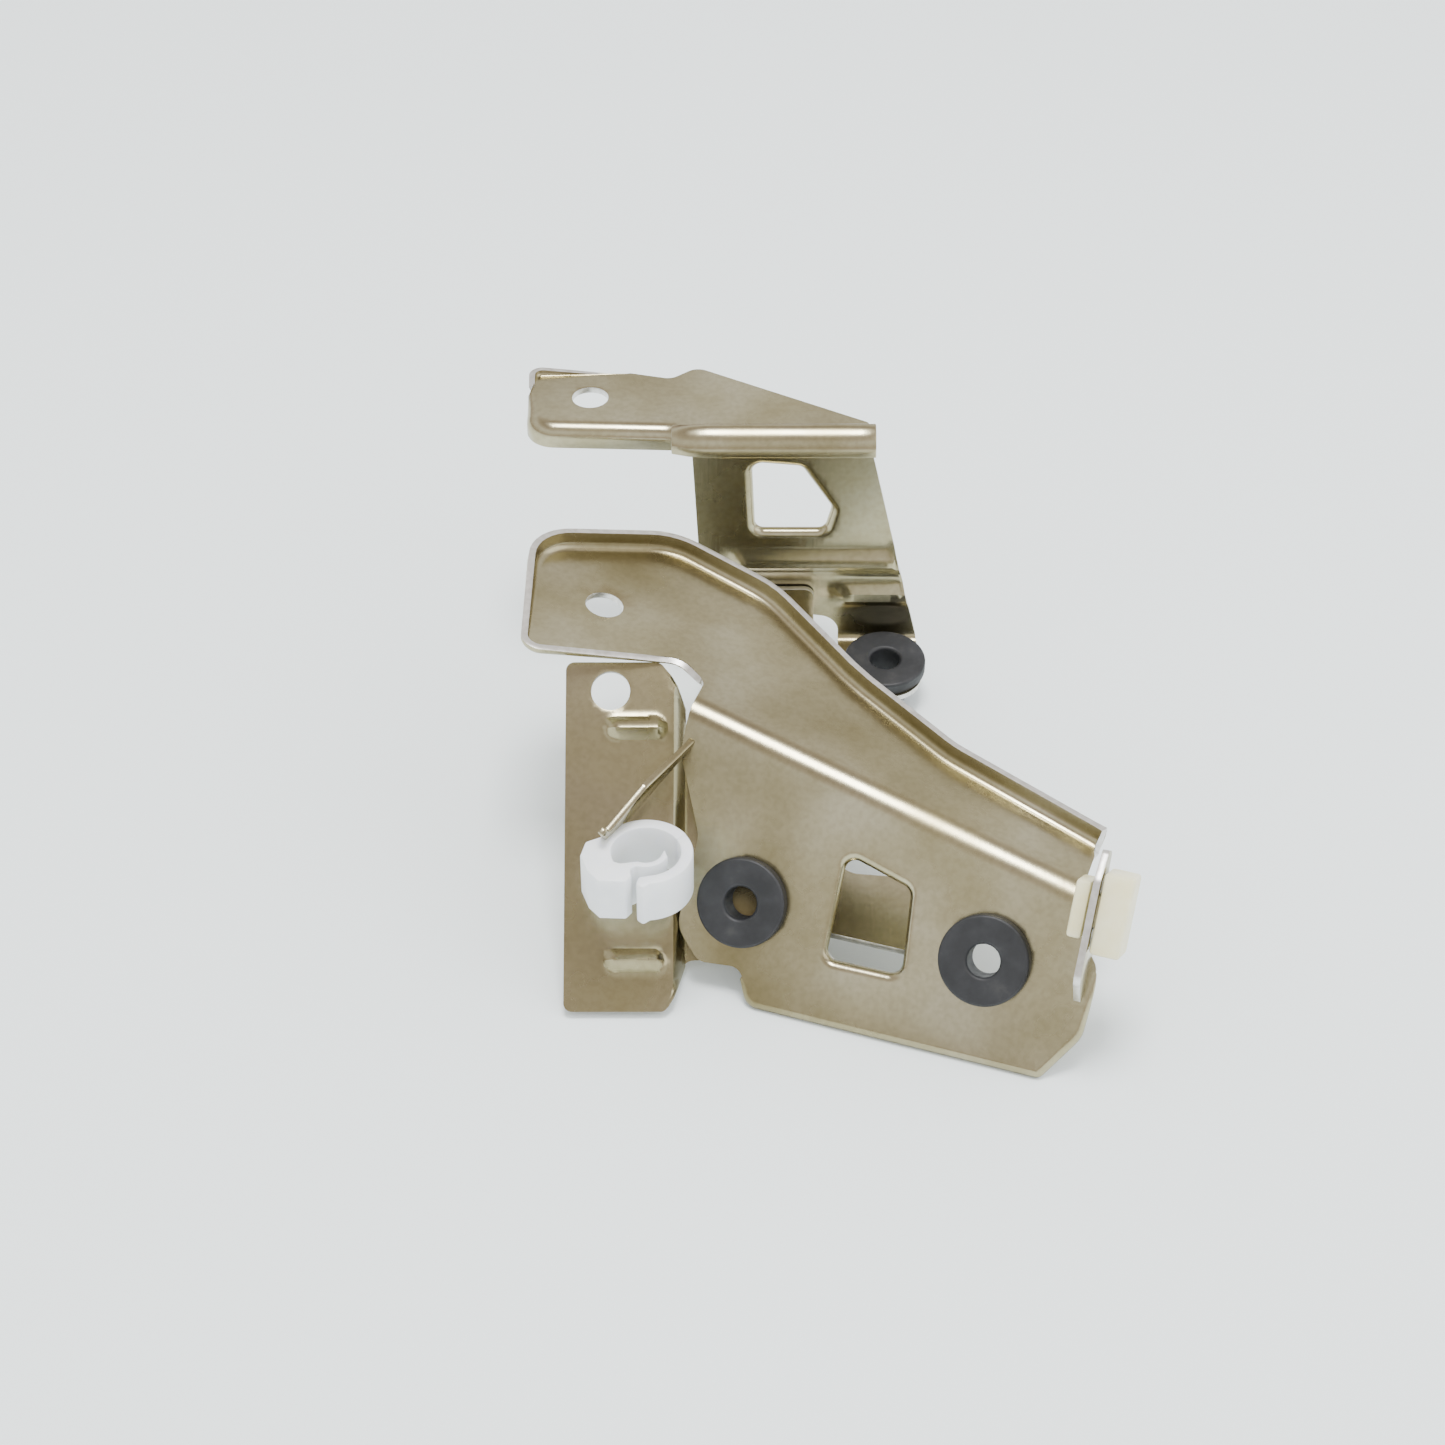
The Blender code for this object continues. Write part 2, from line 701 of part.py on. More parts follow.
def grommet(name, centre, axis):
    """A rubber ring: a wide lip on each side of the sheet and a narrow neck through it."""
    near = SHEET / 2 + GAP
    far = near + GROMMET_LIP
    ease = 0.6
    profile = [
        (GROMMET_BORE, -far),
        (GROMMET_RADIUS - 1.2 - ease, -far),
        (GROMMET_RADIUS - 1.2, -far + ease),
        (GROMMET_RADIUS - 1.2, -near),
        (GROMMET_NECK, -near),
        (GROMMET_NECK, near),
        (GROMMET_RADIUS, near),
        (GROMMET_RADIUS, far - ease),
        (GROMMET_RADIUS - ease, far),
        (GROMMET_BORE + ease, far),
        (GROMMET_BORE, far - ease),
    ]
    return turned(name, profile, centre, axis, BLACK_RUBBER)


def all_grommets():
    for name, seat in zip(("front_left_grommet", "front_right_grommet"), GROMMET_SEATS):
        grommet(name, place_front(*seat, 0.0), FACE_OUT)
    centre = place_rear(*REAR_SEAT, 0.0)
    axis = (place_rear(*REAR_SEAT, 1.0) - centre).normalized()
    grommet("rear_grommet", centre, axis)


# ---------------------------------------------------------------- nylon insert


def insert_block(size, out, up, along):
    half_out, half_up = size.y / 2, size.z / 2
    square = [
        (out - half_out, up - half_up),
        (out + half_out, up - half_up),
        (out + half_out, up + half_up),
        (out - half_out, up + half_up),
    ]
    return prism(square, lug_place, along, along + size.x)


def nylon_insert():
    """A snap-in nylon nut: a head on the face's side, a square neck and a body outside."""
    out, up = LUG_SEAT
    face = SHEET / 2 + GAP
    neck = Vector((2 * face + 1.0, 2 * LUG_SEAT_HALF - 0.7, 2 * LUG_SEAT_HALF - 0.7))
    body = add_object("nylon_insert", insert_block(INSERT_BODY, out, up, face), AMBER_NYLON)
    neck_shape = insert_block(neck, out, up, -face - 0.5)
    head_shape = insert_block(INSERT_HEAD, out, up, -face - INSERT_HEAD.x)
    join(body, add_object("insert_neck_shape", neck_shape, AMBER_NYLON))
    join(body, add_object("insert_head_shape", head_shape, AMBER_NYLON))
    return body


# ---------------------------------------------------------------- cable clip


def clip_place(x, y, z):
    return CLIP_CENTRE + Vector((x, y, z))


def clip_arc(start, end, radius, step=radians(14)):
    count = max(2, ceil(abs(end - start) / step))
    return [
        (radius * cos(start + (end - start) * i / count), radius * sin(start + (end - start) * i / count))
        for i in range(count + 1)
    ]


def clip_body():
    """A ring open at the front, with a slotted block on its left and a tongue curled inside."""
    outer = CLIP_RADIUS + CLIP_WALL / 2
    inner = CLIP_RADIUS - CLIP_WALL / 2
    tongue = inner - 1.6
    block_left, block_front = -10.5, -7.5
    start = JAW_START + GAP / outer
    ring = clip_arc(start, radians(150), outer)
    ring += [(block_left, 2.4), (block_left - 0.8, -1.0), (block_left + 0.6, block_front + 2.4)]
    ring += [(-8.0, block_front), (-3.4, block_front - 0.2), (-2.4, block_front + 1.2)]
    ring += [(-2.6, -4.4)]
    ring += clip_arc(radians(-112), radians(-20), tongue - 0.4)
    ring += [(tongue - 1.2, 0.6)]
    ring += clip_arc(radians(-24), radians(-118), tongue - 1.6)
    ring += [(-4.4, -3.0)]
    ring += clip_arc(radians(205), start, inner)
    clip = add_object("cable_clip", prism(ring, clip_place, 0.0, CLIP_HEIGHT), WHITE_NYLON)
    subtract(clip, strip_shape("strip_slot", SHEET / 2 + GAP, GAP))
    return clip


def clip_jaw():
    """The springy right side of the clip. It hinges at its root, on the ring's outer face."""
    outer = CLIP_RADIUS + CLIP_WALL / 2
    inner = CLIP_RADIUS - CLIP_WALL / 2
    outline = clip_arc(JAW_START, JAW_END, outer)
    outline += [(-0.4, -9.2), (-1.6, -8.2), (-1.2, -6.4)]
    outline += clip_arc(JAW_END, JAW_START, inner)
    pivot = clip_place(outer * cos(JAW_START), outer * sin(JAW_START), CLIP_HEIGHT / 2)
    shape = prism(outline, clip_place, 0.0, CLIP_HEIGHT)
    return add_object("clip_jaw", shape, WHITE_NYLON, pivot)


def centre_on_bench():
    """Puts the origin on the bench, under the middle of the bracket's box."""
    bpy.context.view_layer.update()
    graph = bpy.context.evaluated_depsgraph_get()
    low = Vector((1, 1, 1))
    high = Vector((-1, -1, -1))
    for piece in bpy.data.objects:
        if piece.hide_render:
            continue
        seen = piece.evaluated_get(graph)
        for corner in seen.bound_box:
            spot = seen.matrix_world @ Vector(corner)
            low = Vector(map(min, low, spot))
            high = Vector(map(max, high, spot))
    middle = (low + high) / 2
    for piece in bpy.data.objects:
        piece.location -= Vector((middle.x, middle.y, low.z))


def build():
    clear_scene()
    front_plate()
    side_web()
    rear_plate()
    cross_plate()
    all_grommets()
    nylon_insert()
    clip_body()
    clip_jaw()
    centre_on_bench()


build()
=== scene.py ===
"""The looks of the grommet support bracket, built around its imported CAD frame.

The sheet-metal pieces are pressed again at a finer step from the same design, in millimetres,
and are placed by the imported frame. Each then gets its own procedural material.
"""

from math import ceil, cos, pi, radians, sin, tan

import bmesh
import bpy
from mathutils import Matrix, Vector
from mathutils.geometry import delaunay_2d_cdt


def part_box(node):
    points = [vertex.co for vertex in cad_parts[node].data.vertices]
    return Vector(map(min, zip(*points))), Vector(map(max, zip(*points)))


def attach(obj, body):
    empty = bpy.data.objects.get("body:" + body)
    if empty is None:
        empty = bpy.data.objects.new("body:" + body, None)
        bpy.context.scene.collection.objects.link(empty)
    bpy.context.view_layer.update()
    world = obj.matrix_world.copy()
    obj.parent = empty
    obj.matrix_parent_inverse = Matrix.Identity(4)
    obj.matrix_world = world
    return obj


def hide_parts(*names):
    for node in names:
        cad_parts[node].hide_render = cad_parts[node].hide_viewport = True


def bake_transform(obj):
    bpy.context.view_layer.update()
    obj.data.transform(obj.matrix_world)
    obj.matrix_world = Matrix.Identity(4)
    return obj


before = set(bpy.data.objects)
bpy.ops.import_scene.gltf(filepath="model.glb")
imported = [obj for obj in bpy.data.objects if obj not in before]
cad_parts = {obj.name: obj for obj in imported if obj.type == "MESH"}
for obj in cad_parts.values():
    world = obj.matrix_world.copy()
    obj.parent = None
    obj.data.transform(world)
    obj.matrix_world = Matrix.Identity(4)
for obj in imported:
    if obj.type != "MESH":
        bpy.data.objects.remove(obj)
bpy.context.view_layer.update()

MM = 0.001

# Sheet metal
SHEET = 1.2
FOLD_RADIUS = 4.9
RIM_RADIUS = 2.2
RIM_HEIGHT = 4.0
FREE_EDGE = 0.5
FLARE_RADIUS = 1.1

# Mesh fineness
EDGE_STEP = 2.4
ARC_STEP = radians(10)
GRID_STEP = 3.2
FOLD_STEPS = 12
RIM_STEPS = 8
FLARE_STEPS = 4
HOLE_STEPS = 40
TURN_STEPS = 64
WEB_GRID = 0.9
REAR_GRID = 1.4
INSIDE_CONSTRAINTS = 1
EDGE_BEVEL = 0.22
CLIP_EASE = 0.45
INSERT_EASE = 0.6
MOST_STRETCH = 1.3
BEVEL_ANGLE = radians(50)
SHARP_ANGLE = radians(32)
WELD_DISTANCE = 1e-5

# Front plate: the face leans back from its foot, and the arm folds back from the face
FACE_LEAN = radians(35)
FACE_YAW = radians(19)
FOOT_CORNER = Vector((4.5, 8.8, 0.0))
FOLD_START = (-20.6, 49.5)
FOLD_SLOPE = radians(13)
ARM_FOLD = radians(59)
ARM_HOLE = (-24.9, 13.8)
ARM_HOLE_RADIUS = 3.5
ARM_ONLY_BEFORE = -6.5

# Grommets
GROMMET_SEATS = ((23.2, -27.1), (66.1, -17.2))
SEAT_RADIUS = 5.4
GROMMET_RADIUS = 8.0
GROMMET_NECK = 5.0
GROMMET_BORE = 2.9
GROMMET_LIP = 2.2
BACK_LIP_LESS = 1.2
GAP = 0.35

# Side web: leans back behind the front edge of the arm, with a stepped lap behind the face
WEB_CORNER = Vector((-28.0, 6.6, 0.0))
WEB_LEAN = radians(49)
WEB_HEIGHT = 62.4
WEB_WIDTH = 19.0
WEB_STEP = 7.0
WEB_LAP = 15.0
WEB_HOLE = (8.0, 57.2)
WEB_BEADS = (9.0, 50.6)
BEAD_RISE = 2.0
BEAD_HALF = 2.2
BEAD_SPAN = (7.0, 18.0)
STEP_HALF = 1.6

# Rear plate: a flat arm, an upright panel under it and a low tab in front of the panel
REAR_ARM_HEIGHT = 54.0
REAR_PANEL_Y = 105.0
REAR_PANEL_DROP = 47.0
REAR_HOLE = (-25.5, 12.5)
REAR_SEAT = (32.0, -56.0)
PANEL_LEFT = -6.0
RIBS = ((-28.0, 0.0), (-36.0, 20.5))
RIB_HALF = 3.2
RIB_DEPTH = 1.8
TAB_FOLD = radians(86)
PANEL_FOLD = radians(90)
REAR_FOLD_RADIUS = 2.6
LIP_LEFT = PANEL_LEFT - 3.6
LIP_RIGHT = 29.2
LIP_BACK = 3.4
LIP_FOOT = -2.6
LIP_RISE = 1.3
LIP_COLUMNS = 12
LIP_ROWS = 20

# Cross plate
CROSS_HEIGHT = 10.0
CROSS_LEFT = -3.0
CROSS_RIGHT = 19.0
CROSS_FRONT_Y = 33.0
CROSS_UPTURN = 9.0
WING_SLOT = (11.0, 13.5)

# Lug and nylon insert at the right edge of the face
LUG_ALONG = 57.0
LUG_SEAT = (4.6, 31.0)
LUG_SEAT_HALF = 3.0
INSERT_HEAD = Vector((2.6, 8.0, 10.0))
INSERT_BODY = Vector((5.2, 9.0, 14.0))
NECK_SLACK = 0.7
NECK_OVERLAP = 0.5

# Cable clip and the strip that carries it
STRIP_START = Vector((-5.9, 38.0, 35.0))
STRIP_END = Vector((-21.0, 22.6, 24.6))
STRIP_WIDTH = 7.0
CLIP_CENTRE = Vector((-13.2, 17.0, 20.0))
CLIP_HEIGHT = 9.0
CLIP_RADIUS = 7.1
CLIP_WALL = 2.2
JAW_START = radians(34)
JAW_END = radians(-84)
JAW_OVERLAP = radians(3)


# Camera
CAMERA_PLACE = Vector((0.0, -357.0, 374.0))
CAMERA_TILT = radians(40.2)
CAMERA_LENS = 73.5
SENSOR_WIDTH = 36

# Studio, in metres and watts
FLOOR_SIZE = 6.0
SKY_STRENGTH = 1.5
LIGHT_AIM = (0, 0, 0.02)


# ---------------------------------------------------------------- outlines


def rounded_outline(corners):
    """Turns (x, y, radius, rim) corners into points (x, y, rim), with an arc at each corner."""
    points = []
    for index, (x, y, radius, rim) in enumerate(corners):
        here = Vector((x, y))
        to_last = (Vector(corners[index - 1][:2]) - here).normalized()
        to_next = (Vector(corners[(index + 1) % len(corners)][:2]) - here).normalized()
        turn = pi - to_last.angle(to_next)
        if radius <= 0 or turn < 0.05:
            points.append((x, y, rim))
            continue
        reach = radius * tan(turn / 2)
        centre = here + (to_last + to_next).normalized() * (radius / cos(turn / 2))
        start = here + to_last * reach - centre
        side = 1 if start.cross(here + to_next * reach - centre) > 0 else -1
        steps = max(1, ceil(turn / ARC_STEP))
        for step in range(steps + 1):
            arm = start.copy()
            arm.rotate(Matrix.Rotation(side * turn * step / steps, 2))
            points.append((centre.x + arm.x, centre.y + arm.y, rim))
    return points


def split_edges(points, longest, rows):
    """Splits long edges, and adds a point wherever an edge crosses a fold row."""
    result = []
    for index, start in enumerate(points):
        end = points[(index + 1) % len(points)]
        length = (Vector(end[:2]) - Vector(start[:2])).length
        shares = {step / ceil(length / longest) for step in range(ceil(length / longest))}
        for row in rows:
            if (start[1] - row) * (end[1] - row) < 0:
                shares.add((row - start[1]) / (end[1] - start[1]))
        kept = []
        for share in sorted(shares):
            if not kept or (share - kept[-1]) * length > 0.3:
                kept.append(share)
        for share in kept:
            result.append(tuple(a + (b - a) * share for a, b in zip(start, end)))
    return result


def signed_area(points):
    total = 0.0
    for index, point in enumerate(points):
        total += points[index - 1][0] * point[1] - point[0] * points[index - 1][1]
    return total / 2


def inward(points, index):
    """The inward normal, stretched at corners so that an offset keeps its distance."""
    here = Vector(points[index][:2])
    before = (here - Vector(points[index - 1][:2])).normalized()
    after = (Vector(points[(index + 1) % len(points)][:2]) - here).normalized()
    normal = Vector((-before.y - after.y, before.x + after.x)).normalized()
    return normal / max(0.5, normal.dot(Vector((-before.y, before.x))))


def contains(points, x, y):
    found = False
    for index, (x1, y1, *_) in enumerate(points):
        x0, y0 = points[index - 1][:2]
        if (y0 > y) != (y1 > y) and x < x0 + (y - y0) * (x1 - x0) / (y1 - y0):
            found = not found
    return found


def distance_to(points, x, y):
    here = Vector((x, y))
    nearest = 1e9
    for index, point in enumerate(points):
        a = Vector(points[index - 1][:2])
        edge = Vector(point[:2]) - a
        share = min(1, max(0, (here - a).dot(edge) / edge.length_squared))
        nearest = min(nearest, (here - a - edge * share).length)
    return nearest


def circle(x, y, radius, count=HOLE_STEPS):
    turn = 2 * pi / count
    return [(x + radius * cos(turn * i), y + radius * sin(turn * i), 0) for i in range(count)]


# ---------------------------------------------------------------- folds


def folded(across, radius, angle):
    """Where a pattern distance across a fold line ends up: (along the first leg, off it, turn).
    The first leg has across < 0, and the fold's arc is centred on across = 0."""
    half = radius * angle / 2
    apex = radius * tan(angle / 2)
    if across < -half:
        return across + half - apex, 0.0, 0.0
    turn = min(angle, (across + half) / radius)
    beyond = max(0.0, across - half)
    forward = -apex + radius * sin(turn) + beyond * cos(turn)
    off = radius * (1 - cos(turn)) + beyond * sin(turn)
    return forward, off, turn


def fold_rows(centre, radius, angle):
    half = radius * angle / 2
    return [centre - half + 2 * half * step / FOLD_STEPS for step in range(FOLD_STEPS + 1)]


FACE_RIGHT = Vector((cos(FACE_YAW), -sin(FACE_YAW), 0))
FACE_UP = Vector((sin(FACE_LEAN) * sin(FACE_YAW), sin(FACE_LEAN) * cos(FACE_YAW), cos(FACE_LEAN)))
FACE_OUT = FACE_RIGHT.cross(FACE_UP)
FOLD_POINT = FOOT_CORNER + FACE_RIGHT * FOLD_START[0] + FACE_UP * FOLD_START[1]
FOLD_ALONG = FACE_RIGHT * cos(FOLD_SLOPE) - FACE_UP * sin(FOLD_SLOPE)
FOLD_UP = FACE_RIGHT * sin(FOLD_SLOPE) + FACE_UP * cos(FOLD_SLOPE)


def place_front(along, across, rise):
    """The face lies below the fold line and the arm above it. Left of ARM_ONLY_BEFORE there is
    no face, so the arm stays flat there."""
    half = FOLD_RADIUS * ARM_FOLD / 2
    if along < ARM_ONLY_BEFORE and across < half:
        forward, off, turn = folded(half, FOLD_RADIUS, ARM_FOLD)
        forward += (across - half) * cos(turn)
        off += (across - half) * sin(turn)
    else:
        forward, off, turn = folded(across, FOLD_RADIUS, ARM_FOLD)
    normal = FACE_OUT * cos(turn) + FOLD_UP * sin(turn)
    return FOLD_POINT + FOLD_ALONG * along + FOLD_UP * forward - FACE_OUT * off + normal * rise


def lug_place(out, up, along):
    return FOOT_CORNER + FACE_RIGHT * (LUG_ALONG + along) + FACE_UP * up + FACE_OUT * out


WEB_UP = Vector((0, sin(WEB_LEAN), cos(WEB_LEAN)))
WEB_OUT = Vector((0, -cos(WEB_LEAN), sin(WEB_LEAN)))


def smooth(value):
    value = min(1.0, max(0.0, value))
    return value * value * (3 - 2 * value)


def bead(x, y):
    """Height of the two short stiffening beads at a pattern point."""
    rise = 0.0
    for height in WEB_BEADS:
        ends = smooth((x - BEAD_SPAN[0]) / 2) * smooth((BEAD_SPAN[1] - x) / 2)
        rise += BEAD_RISE * ends * smooth(1 - abs(y - height) / BEAD_HALF)
    return rise


def place_web(x, y, rise):
    """Flat up to WEB_WIDTH, then a step back, then a lap that runs behind the face."""
    share = smooth((x - WEB_WIDTH) / (2 * STEP_HALF))
    step = WEB_STEP * share
    off = bead(x, y) + rise - step
    squeeze = min(max(x - WEB_WIDTH, 0), 2 * STEP_HALF) * 0.35
    return WEB_CORNER + Vector((x - squeeze, 0, 0)) + WEB_UP * y + WEB_OUT * off


def rib(x, y):
    """Height of the level ribs, which run from their starting x to the right edge."""
    total = 0.0
    for height, start in RIBS:
        total += RIB_DEPTH * smooth(1 - abs(y - height) / RIB_HALF) * smooth((x - start) / 4)
    return total


def place_rear(x, across, rise):
    """across > 0 is the arm, 0 to -REAR_PANEL_DROP the upright panel, and below that the tab."""
    forward, off, turn = folded(-across, REAR_FOLD_RADIUS, PANEL_FOLD)
    half = REAR_FOLD_RADIUS * PANEL_FOLD / 2
    if x < PANEL_LEFT - 1 and across < half:
        forward, off, turn = half - across - REAR_FOLD_RADIUS, 0.0, 0.0
    y = REAR_PANEL_Y - forward
    z = REAR_ARM_HEIGHT - off
    out = Vector((0, -sin(turn), cos(turn)))
    below = -across - REAR_PANEL_DROP
    limit = REAR_FOLD_RADIUS * TAB_FOLD / 2
    if below > -limit:
        down, front, bend = folded(below, REAR_FOLD_RADIUS, TAB_FOLD)
        slack = REAR_FOLD_RADIUS * (2 - PANEL_FOLD / 2) + REAR_FOLD_RADIUS * tan(TAB_FOLD / 2)
        y = REAR_PANEL_Y - front
        z = REAR_ARM_HEIGHT - REAR_PANEL_DROP - down + limit - slack + REAR_FOLD_RADIUS
        out = Vector((0, -cos(bend), sin(bend)))
    point = Vector((x, y, z))
    return point + out * (rise + (rib(x, across) if across < -half else 0.0))


def place_cross(x, y, rise):
    """Runs level from the web's lap to the rear panel, and turns up at both ends. A wing right of
    the slot stays level behind the face."""
    length = REAR_PANEL_Y - SHEET - GAP - CROSS_FRONT_Y
    if y > length / 2:
        forward, off, turn = folded(y - length, REAR_FOLD_RADIUS, PANEL_FOLD)
        return Vector((x, CROSS_FRONT_Y + length + forward, CROSS_HEIGHT + off)) + rise * Vector(
            (0, -sin(turn), cos(turn))
        )
    if x > WING_SLOT[0] + 0.1:
        return Vector((x, CROSS_FRONT_Y + y, CROSS_HEIGHT + rise))
    forward, off, turn = folded(-y, REAR_FOLD_RADIUS, pi / 2 + WEB_LEAN)
    return Vector((x, CROSS_FRONT_Y - forward, CROSS_HEIGHT + off)) + rise * Vector(
        (0, sin(turn), cos(turn))
    )


# ---------------------------------------------------------------- materials


def nodes_of(name):
    made = bpy.data.materials.new(name)
    made.use_nodes = True
    tree = made.node_tree
    return made, tree, tree.nodes["Principled BSDF"]


def object_noise(tree, scale, detail=4.0, stretch=(1, 1, 1)):
    """Noise in the object's own space. The scale is in cells per metre."""
    place = tree.nodes.new("ShaderNodeTexCoord")
    mapping = tree.nodes.new("ShaderNodeMapping")
    mapping.inputs["Scale"].default_value = stretch
    noise = tree.nodes.new("ShaderNodeTexNoise")
    noise.inputs["Scale"].default_value = scale
    noise.inputs["Detail"].default_value = detail
    tree.links.new(place.outputs["Object"], mapping.inputs["Vector"])
    tree.links.new(mapping.outputs["Vector"], noise.inputs["Vector"])
    return noise.outputs["Fac"]


def ramp(tree, source, stops):
    made = tree.nodes.new("ShaderNodeValToRGB")
    elements = made.color_ramp.elements
    while len(elements) < len(stops):
        elements.new(0.5)
    for element, (position, colour) in zip(elements, stops):
        element.position = position
        element.color = (*colour, 1.0)
    tree.links.new(source, made.inputs["Fac"])
    return made.outputs["Color"]


def mix(tree, share, first, second, mode="MIX"):
    made = tree.nodes.new("ShaderNodeMix")
    made.data_type = "RGBA"
    made.blend_type = mode
    colour_inputs = [socket for socket in made.inputs if socket.type == "RGBA"]
    for socket, value in ((made.inputs["Factor"], share), *zip(colour_inputs, (first, second))):
        if isinstance(value, (int, float)):
            socket.default_value = value
        elif isinstance(value, tuple):
            socket.default_value = (*value, 1.0)
        else:
            tree.links.new(value, socket)
    return next(socket for socket in made.outputs if socket.type == "RGBA")


def bump(tree, shader, heights, strength, distance):
    """Adds one bump for each height source, the coarse one first."""
    last = None
    for height, share in heights:
        made = tree.nodes.new("ShaderNodeBump")
        made.inputs["Strength"].default_value = strength * share
        made.inputs["Distance"].default_value = distance
        tree.links.new(height, made.inputs["Height"])
        if last is not None:
            tree.links.new(last, made.inputs["Normal"])
        last = made.outputs["Normal"]
    tree.links.new(last, shader.inputs["Normal"])


def plated_steel():
    """Bright plate with cloudy straw and grey patches, a fine rolling grain and small specks."""
    made, tree, shader = nodes_of("plated_steel_fine")
    clouds = object_noise(tree, 45, 5)
    specks = object_noise(tree, 900, 3)
    grain = object_noise(tree, 1500, 2, (1, 0.05, 0.05))
    base = ramp(
        tree,
        clouds,
        [(0.32, (0.34, 0.30, 0.17)), (0.50, (0.42, 0.382, 0.245)), (0.70, (0.50, 0.465, 0.335))],
    )
    speckled = ramp(tree, specks, [(0.35, (0.80, 0.78, 0.74)), (0.60, (1.0, 1.0, 1.0))])
    base = mix(tree, 0.45, base, speckled, "MULTIPLY")
    uneven = ramp(
        tree, object_noise(tree, 26, 2), [(0.34, (0.66, 0.63, 0.56)), (0.58, (1.0, 1.0, 1.0))]
    )
    base = mix(tree, 0.75, base, uneven, "MULTIPLY")
    tree.links.new(base, shader.inputs["Base Color"])
    rough = ramp(tree, clouds, [(0.30, (0.32,) * 3), (0.70, (0.19,) * 3)])
    tree.links.new(rough, shader.inputs["Roughness"])
    shader.inputs["Metallic"].default_value = 1.0
    bump(tree, shader, [(clouds, 0.5), (grain, 0.35), (specks, 0.25)], 0.35, 0.00008)
    return made


def black_rubber():
    made, tree, shader = nodes_of("black_rubber_fine")
    dust = object_noise(tree, 260, 6)
    base = ramp(
        tree,
        dust,
        [(0.35, (0.010, 0.011, 0.013)), (0.62, (0.019, 0.020, 0.023)), (0.80, (0.04,) * 3)],
    )
    tree.links.new(base, shader.inputs["Base Color"])
    rough = ramp(tree, dust, [(0.3, (0.62,) * 3), (0.7, (0.46,) * 3)])
    tree.links.new(rough, shader.inputs["Roughness"])
    bump(tree, shader, [(dust, 1.0), (object_noise(tree, 2200, 2), 0.6)], 0.25, 0.00006)
    return made


def moulded_nylon(name, deep, pale, amount):
    """Milky nylon that lets a little light through, with a faint moulded grain."""
    made, tree, shader = nodes_of(name)
    milk = object_noise(tree, 160, 4)
    tree.links.new(ramp(tree, milk, [(0.3, deep), (0.7, pale)]), shader.inputs["Base Color"])
    shader.inputs["Roughness"].default_value = 0.36
    shader.inputs["Subsurface Weight"].default_value = amount
    shader.inputs["Subsurface Radius"].default_value = (0.004, 0.004, 0.003)
    shader.inputs["Subsurface Scale"].default_value = 1.0
    bump(tree, shader, [(milk, 0.6), (object_noise(tree, 1800, 2), 0.5)], 0.2, 0.00006)
    return made


def cut_edge():
    """The sheet's sheared edge, paler than its faces."""
    made, tree, shader = nodes_of("cut_edge")
    burr = object_noise(tree, 700, 3)
    base = ramp(tree, burr, [(0.3, (0.60, 0.585, 0.55)), (0.7, (0.78, 0.775, 0.75))])
    tree.links.new(base, shader.inputs["Base Color"])
    shader.inputs["Metallic"].default_value = 1.0
    shader.inputs["Roughness"].default_value = 0.38
    bump(tree, shader, [(burr, 1.0)], 0.3, 0.00006)
    return made


STEEL = plated_steel()
CUT_EDGE = cut_edge()
RUBBER = black_rubber()
WHITE = moulded_nylon("white_nylon_fine", (0.80, 0.83, 0.85), (0.90, 0.92, 0.93), 0.35)
AMBER = moulded_nylon("amber_nylon_fine", (0.78, 0.71, 0.40), (0.87, 0.83, 0.58), 0.35)


# ---------------------------------------------------------------- placing pieces


def packed_shift():
    """From the design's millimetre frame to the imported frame, read off the nylon insert."""
    low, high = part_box("nylon_insert")
    face = SHEET / 2 + GAP
    out, up = LUG_SEAT
    lows = Vector((1e9,) * 3)
    highs = Vector((-1e9,) * 3)
    for size, along in ((INSERT_BODY, face), (INSERT_HEAD, -face - INSERT_HEAD.x)):
        for a in (0, 1):
            for b in (-0.5, 0.5):
                for c in (-0.5, 0.5):
                    spot = lug_place(out + b * size.y, up + c * size.z, along + a * size.x)
                    lows = Vector(map(min, lows, spot))
                    highs = Vector(map(max, highs, spot))
    return (low + high) / 2 - (lows + highs) / 2 * MM


SHIFT = packed_shift()


def bake(made):
    """Applies the modifiers, so that shading is set on the final mesh."""
    bpy.context.view_layer.update()
    graph = bpy.context.evaluated_depsgraph_get()
    mesh = bpy.data.meshes.new_from_object(made.evaluated_get(graph))
    made.modifiers.clear()
    made.data = mesh
    mesh.shade_smooth()
    mesh.set_sharp_from_angle(angle=SHARP_ANGLE)
    return made


def thickened(sheet, half):
    """A closed solid around a mid-surface, with the same thickness round its bends."""
    sheet.normal_update()
    solid = bmesh.new()
    sides = []
    for side in (half, -half):
        made = {}
        for vert in sheet.verts:
            stretch = min(MOST_STRETCH, vert.calc_shell_factor())
            made[vert] = solid.verts.new(vert.co + vert.normal * side * stretch)
        sides.append(made)
    top, bottom = sides
    for face in sheet.faces:
        solid.faces.new([top[vert] for vert in face.verts])
        solid.faces.new([bottom[vert] for vert in reversed(face.verts)])
        for loop in face.loops:
            if len(loop.edge.link_faces) == 1:
                first = loop.vert
                second = loop.link_loop_next.vert
                side = solid.faces.new((top[second], top[first], bottom[first], bottom[second]))
                side.material_index = 1
    sheet.free()
    bmesh.ops.recalc_face_normals(solid, faces=solid.faces)
    return solid


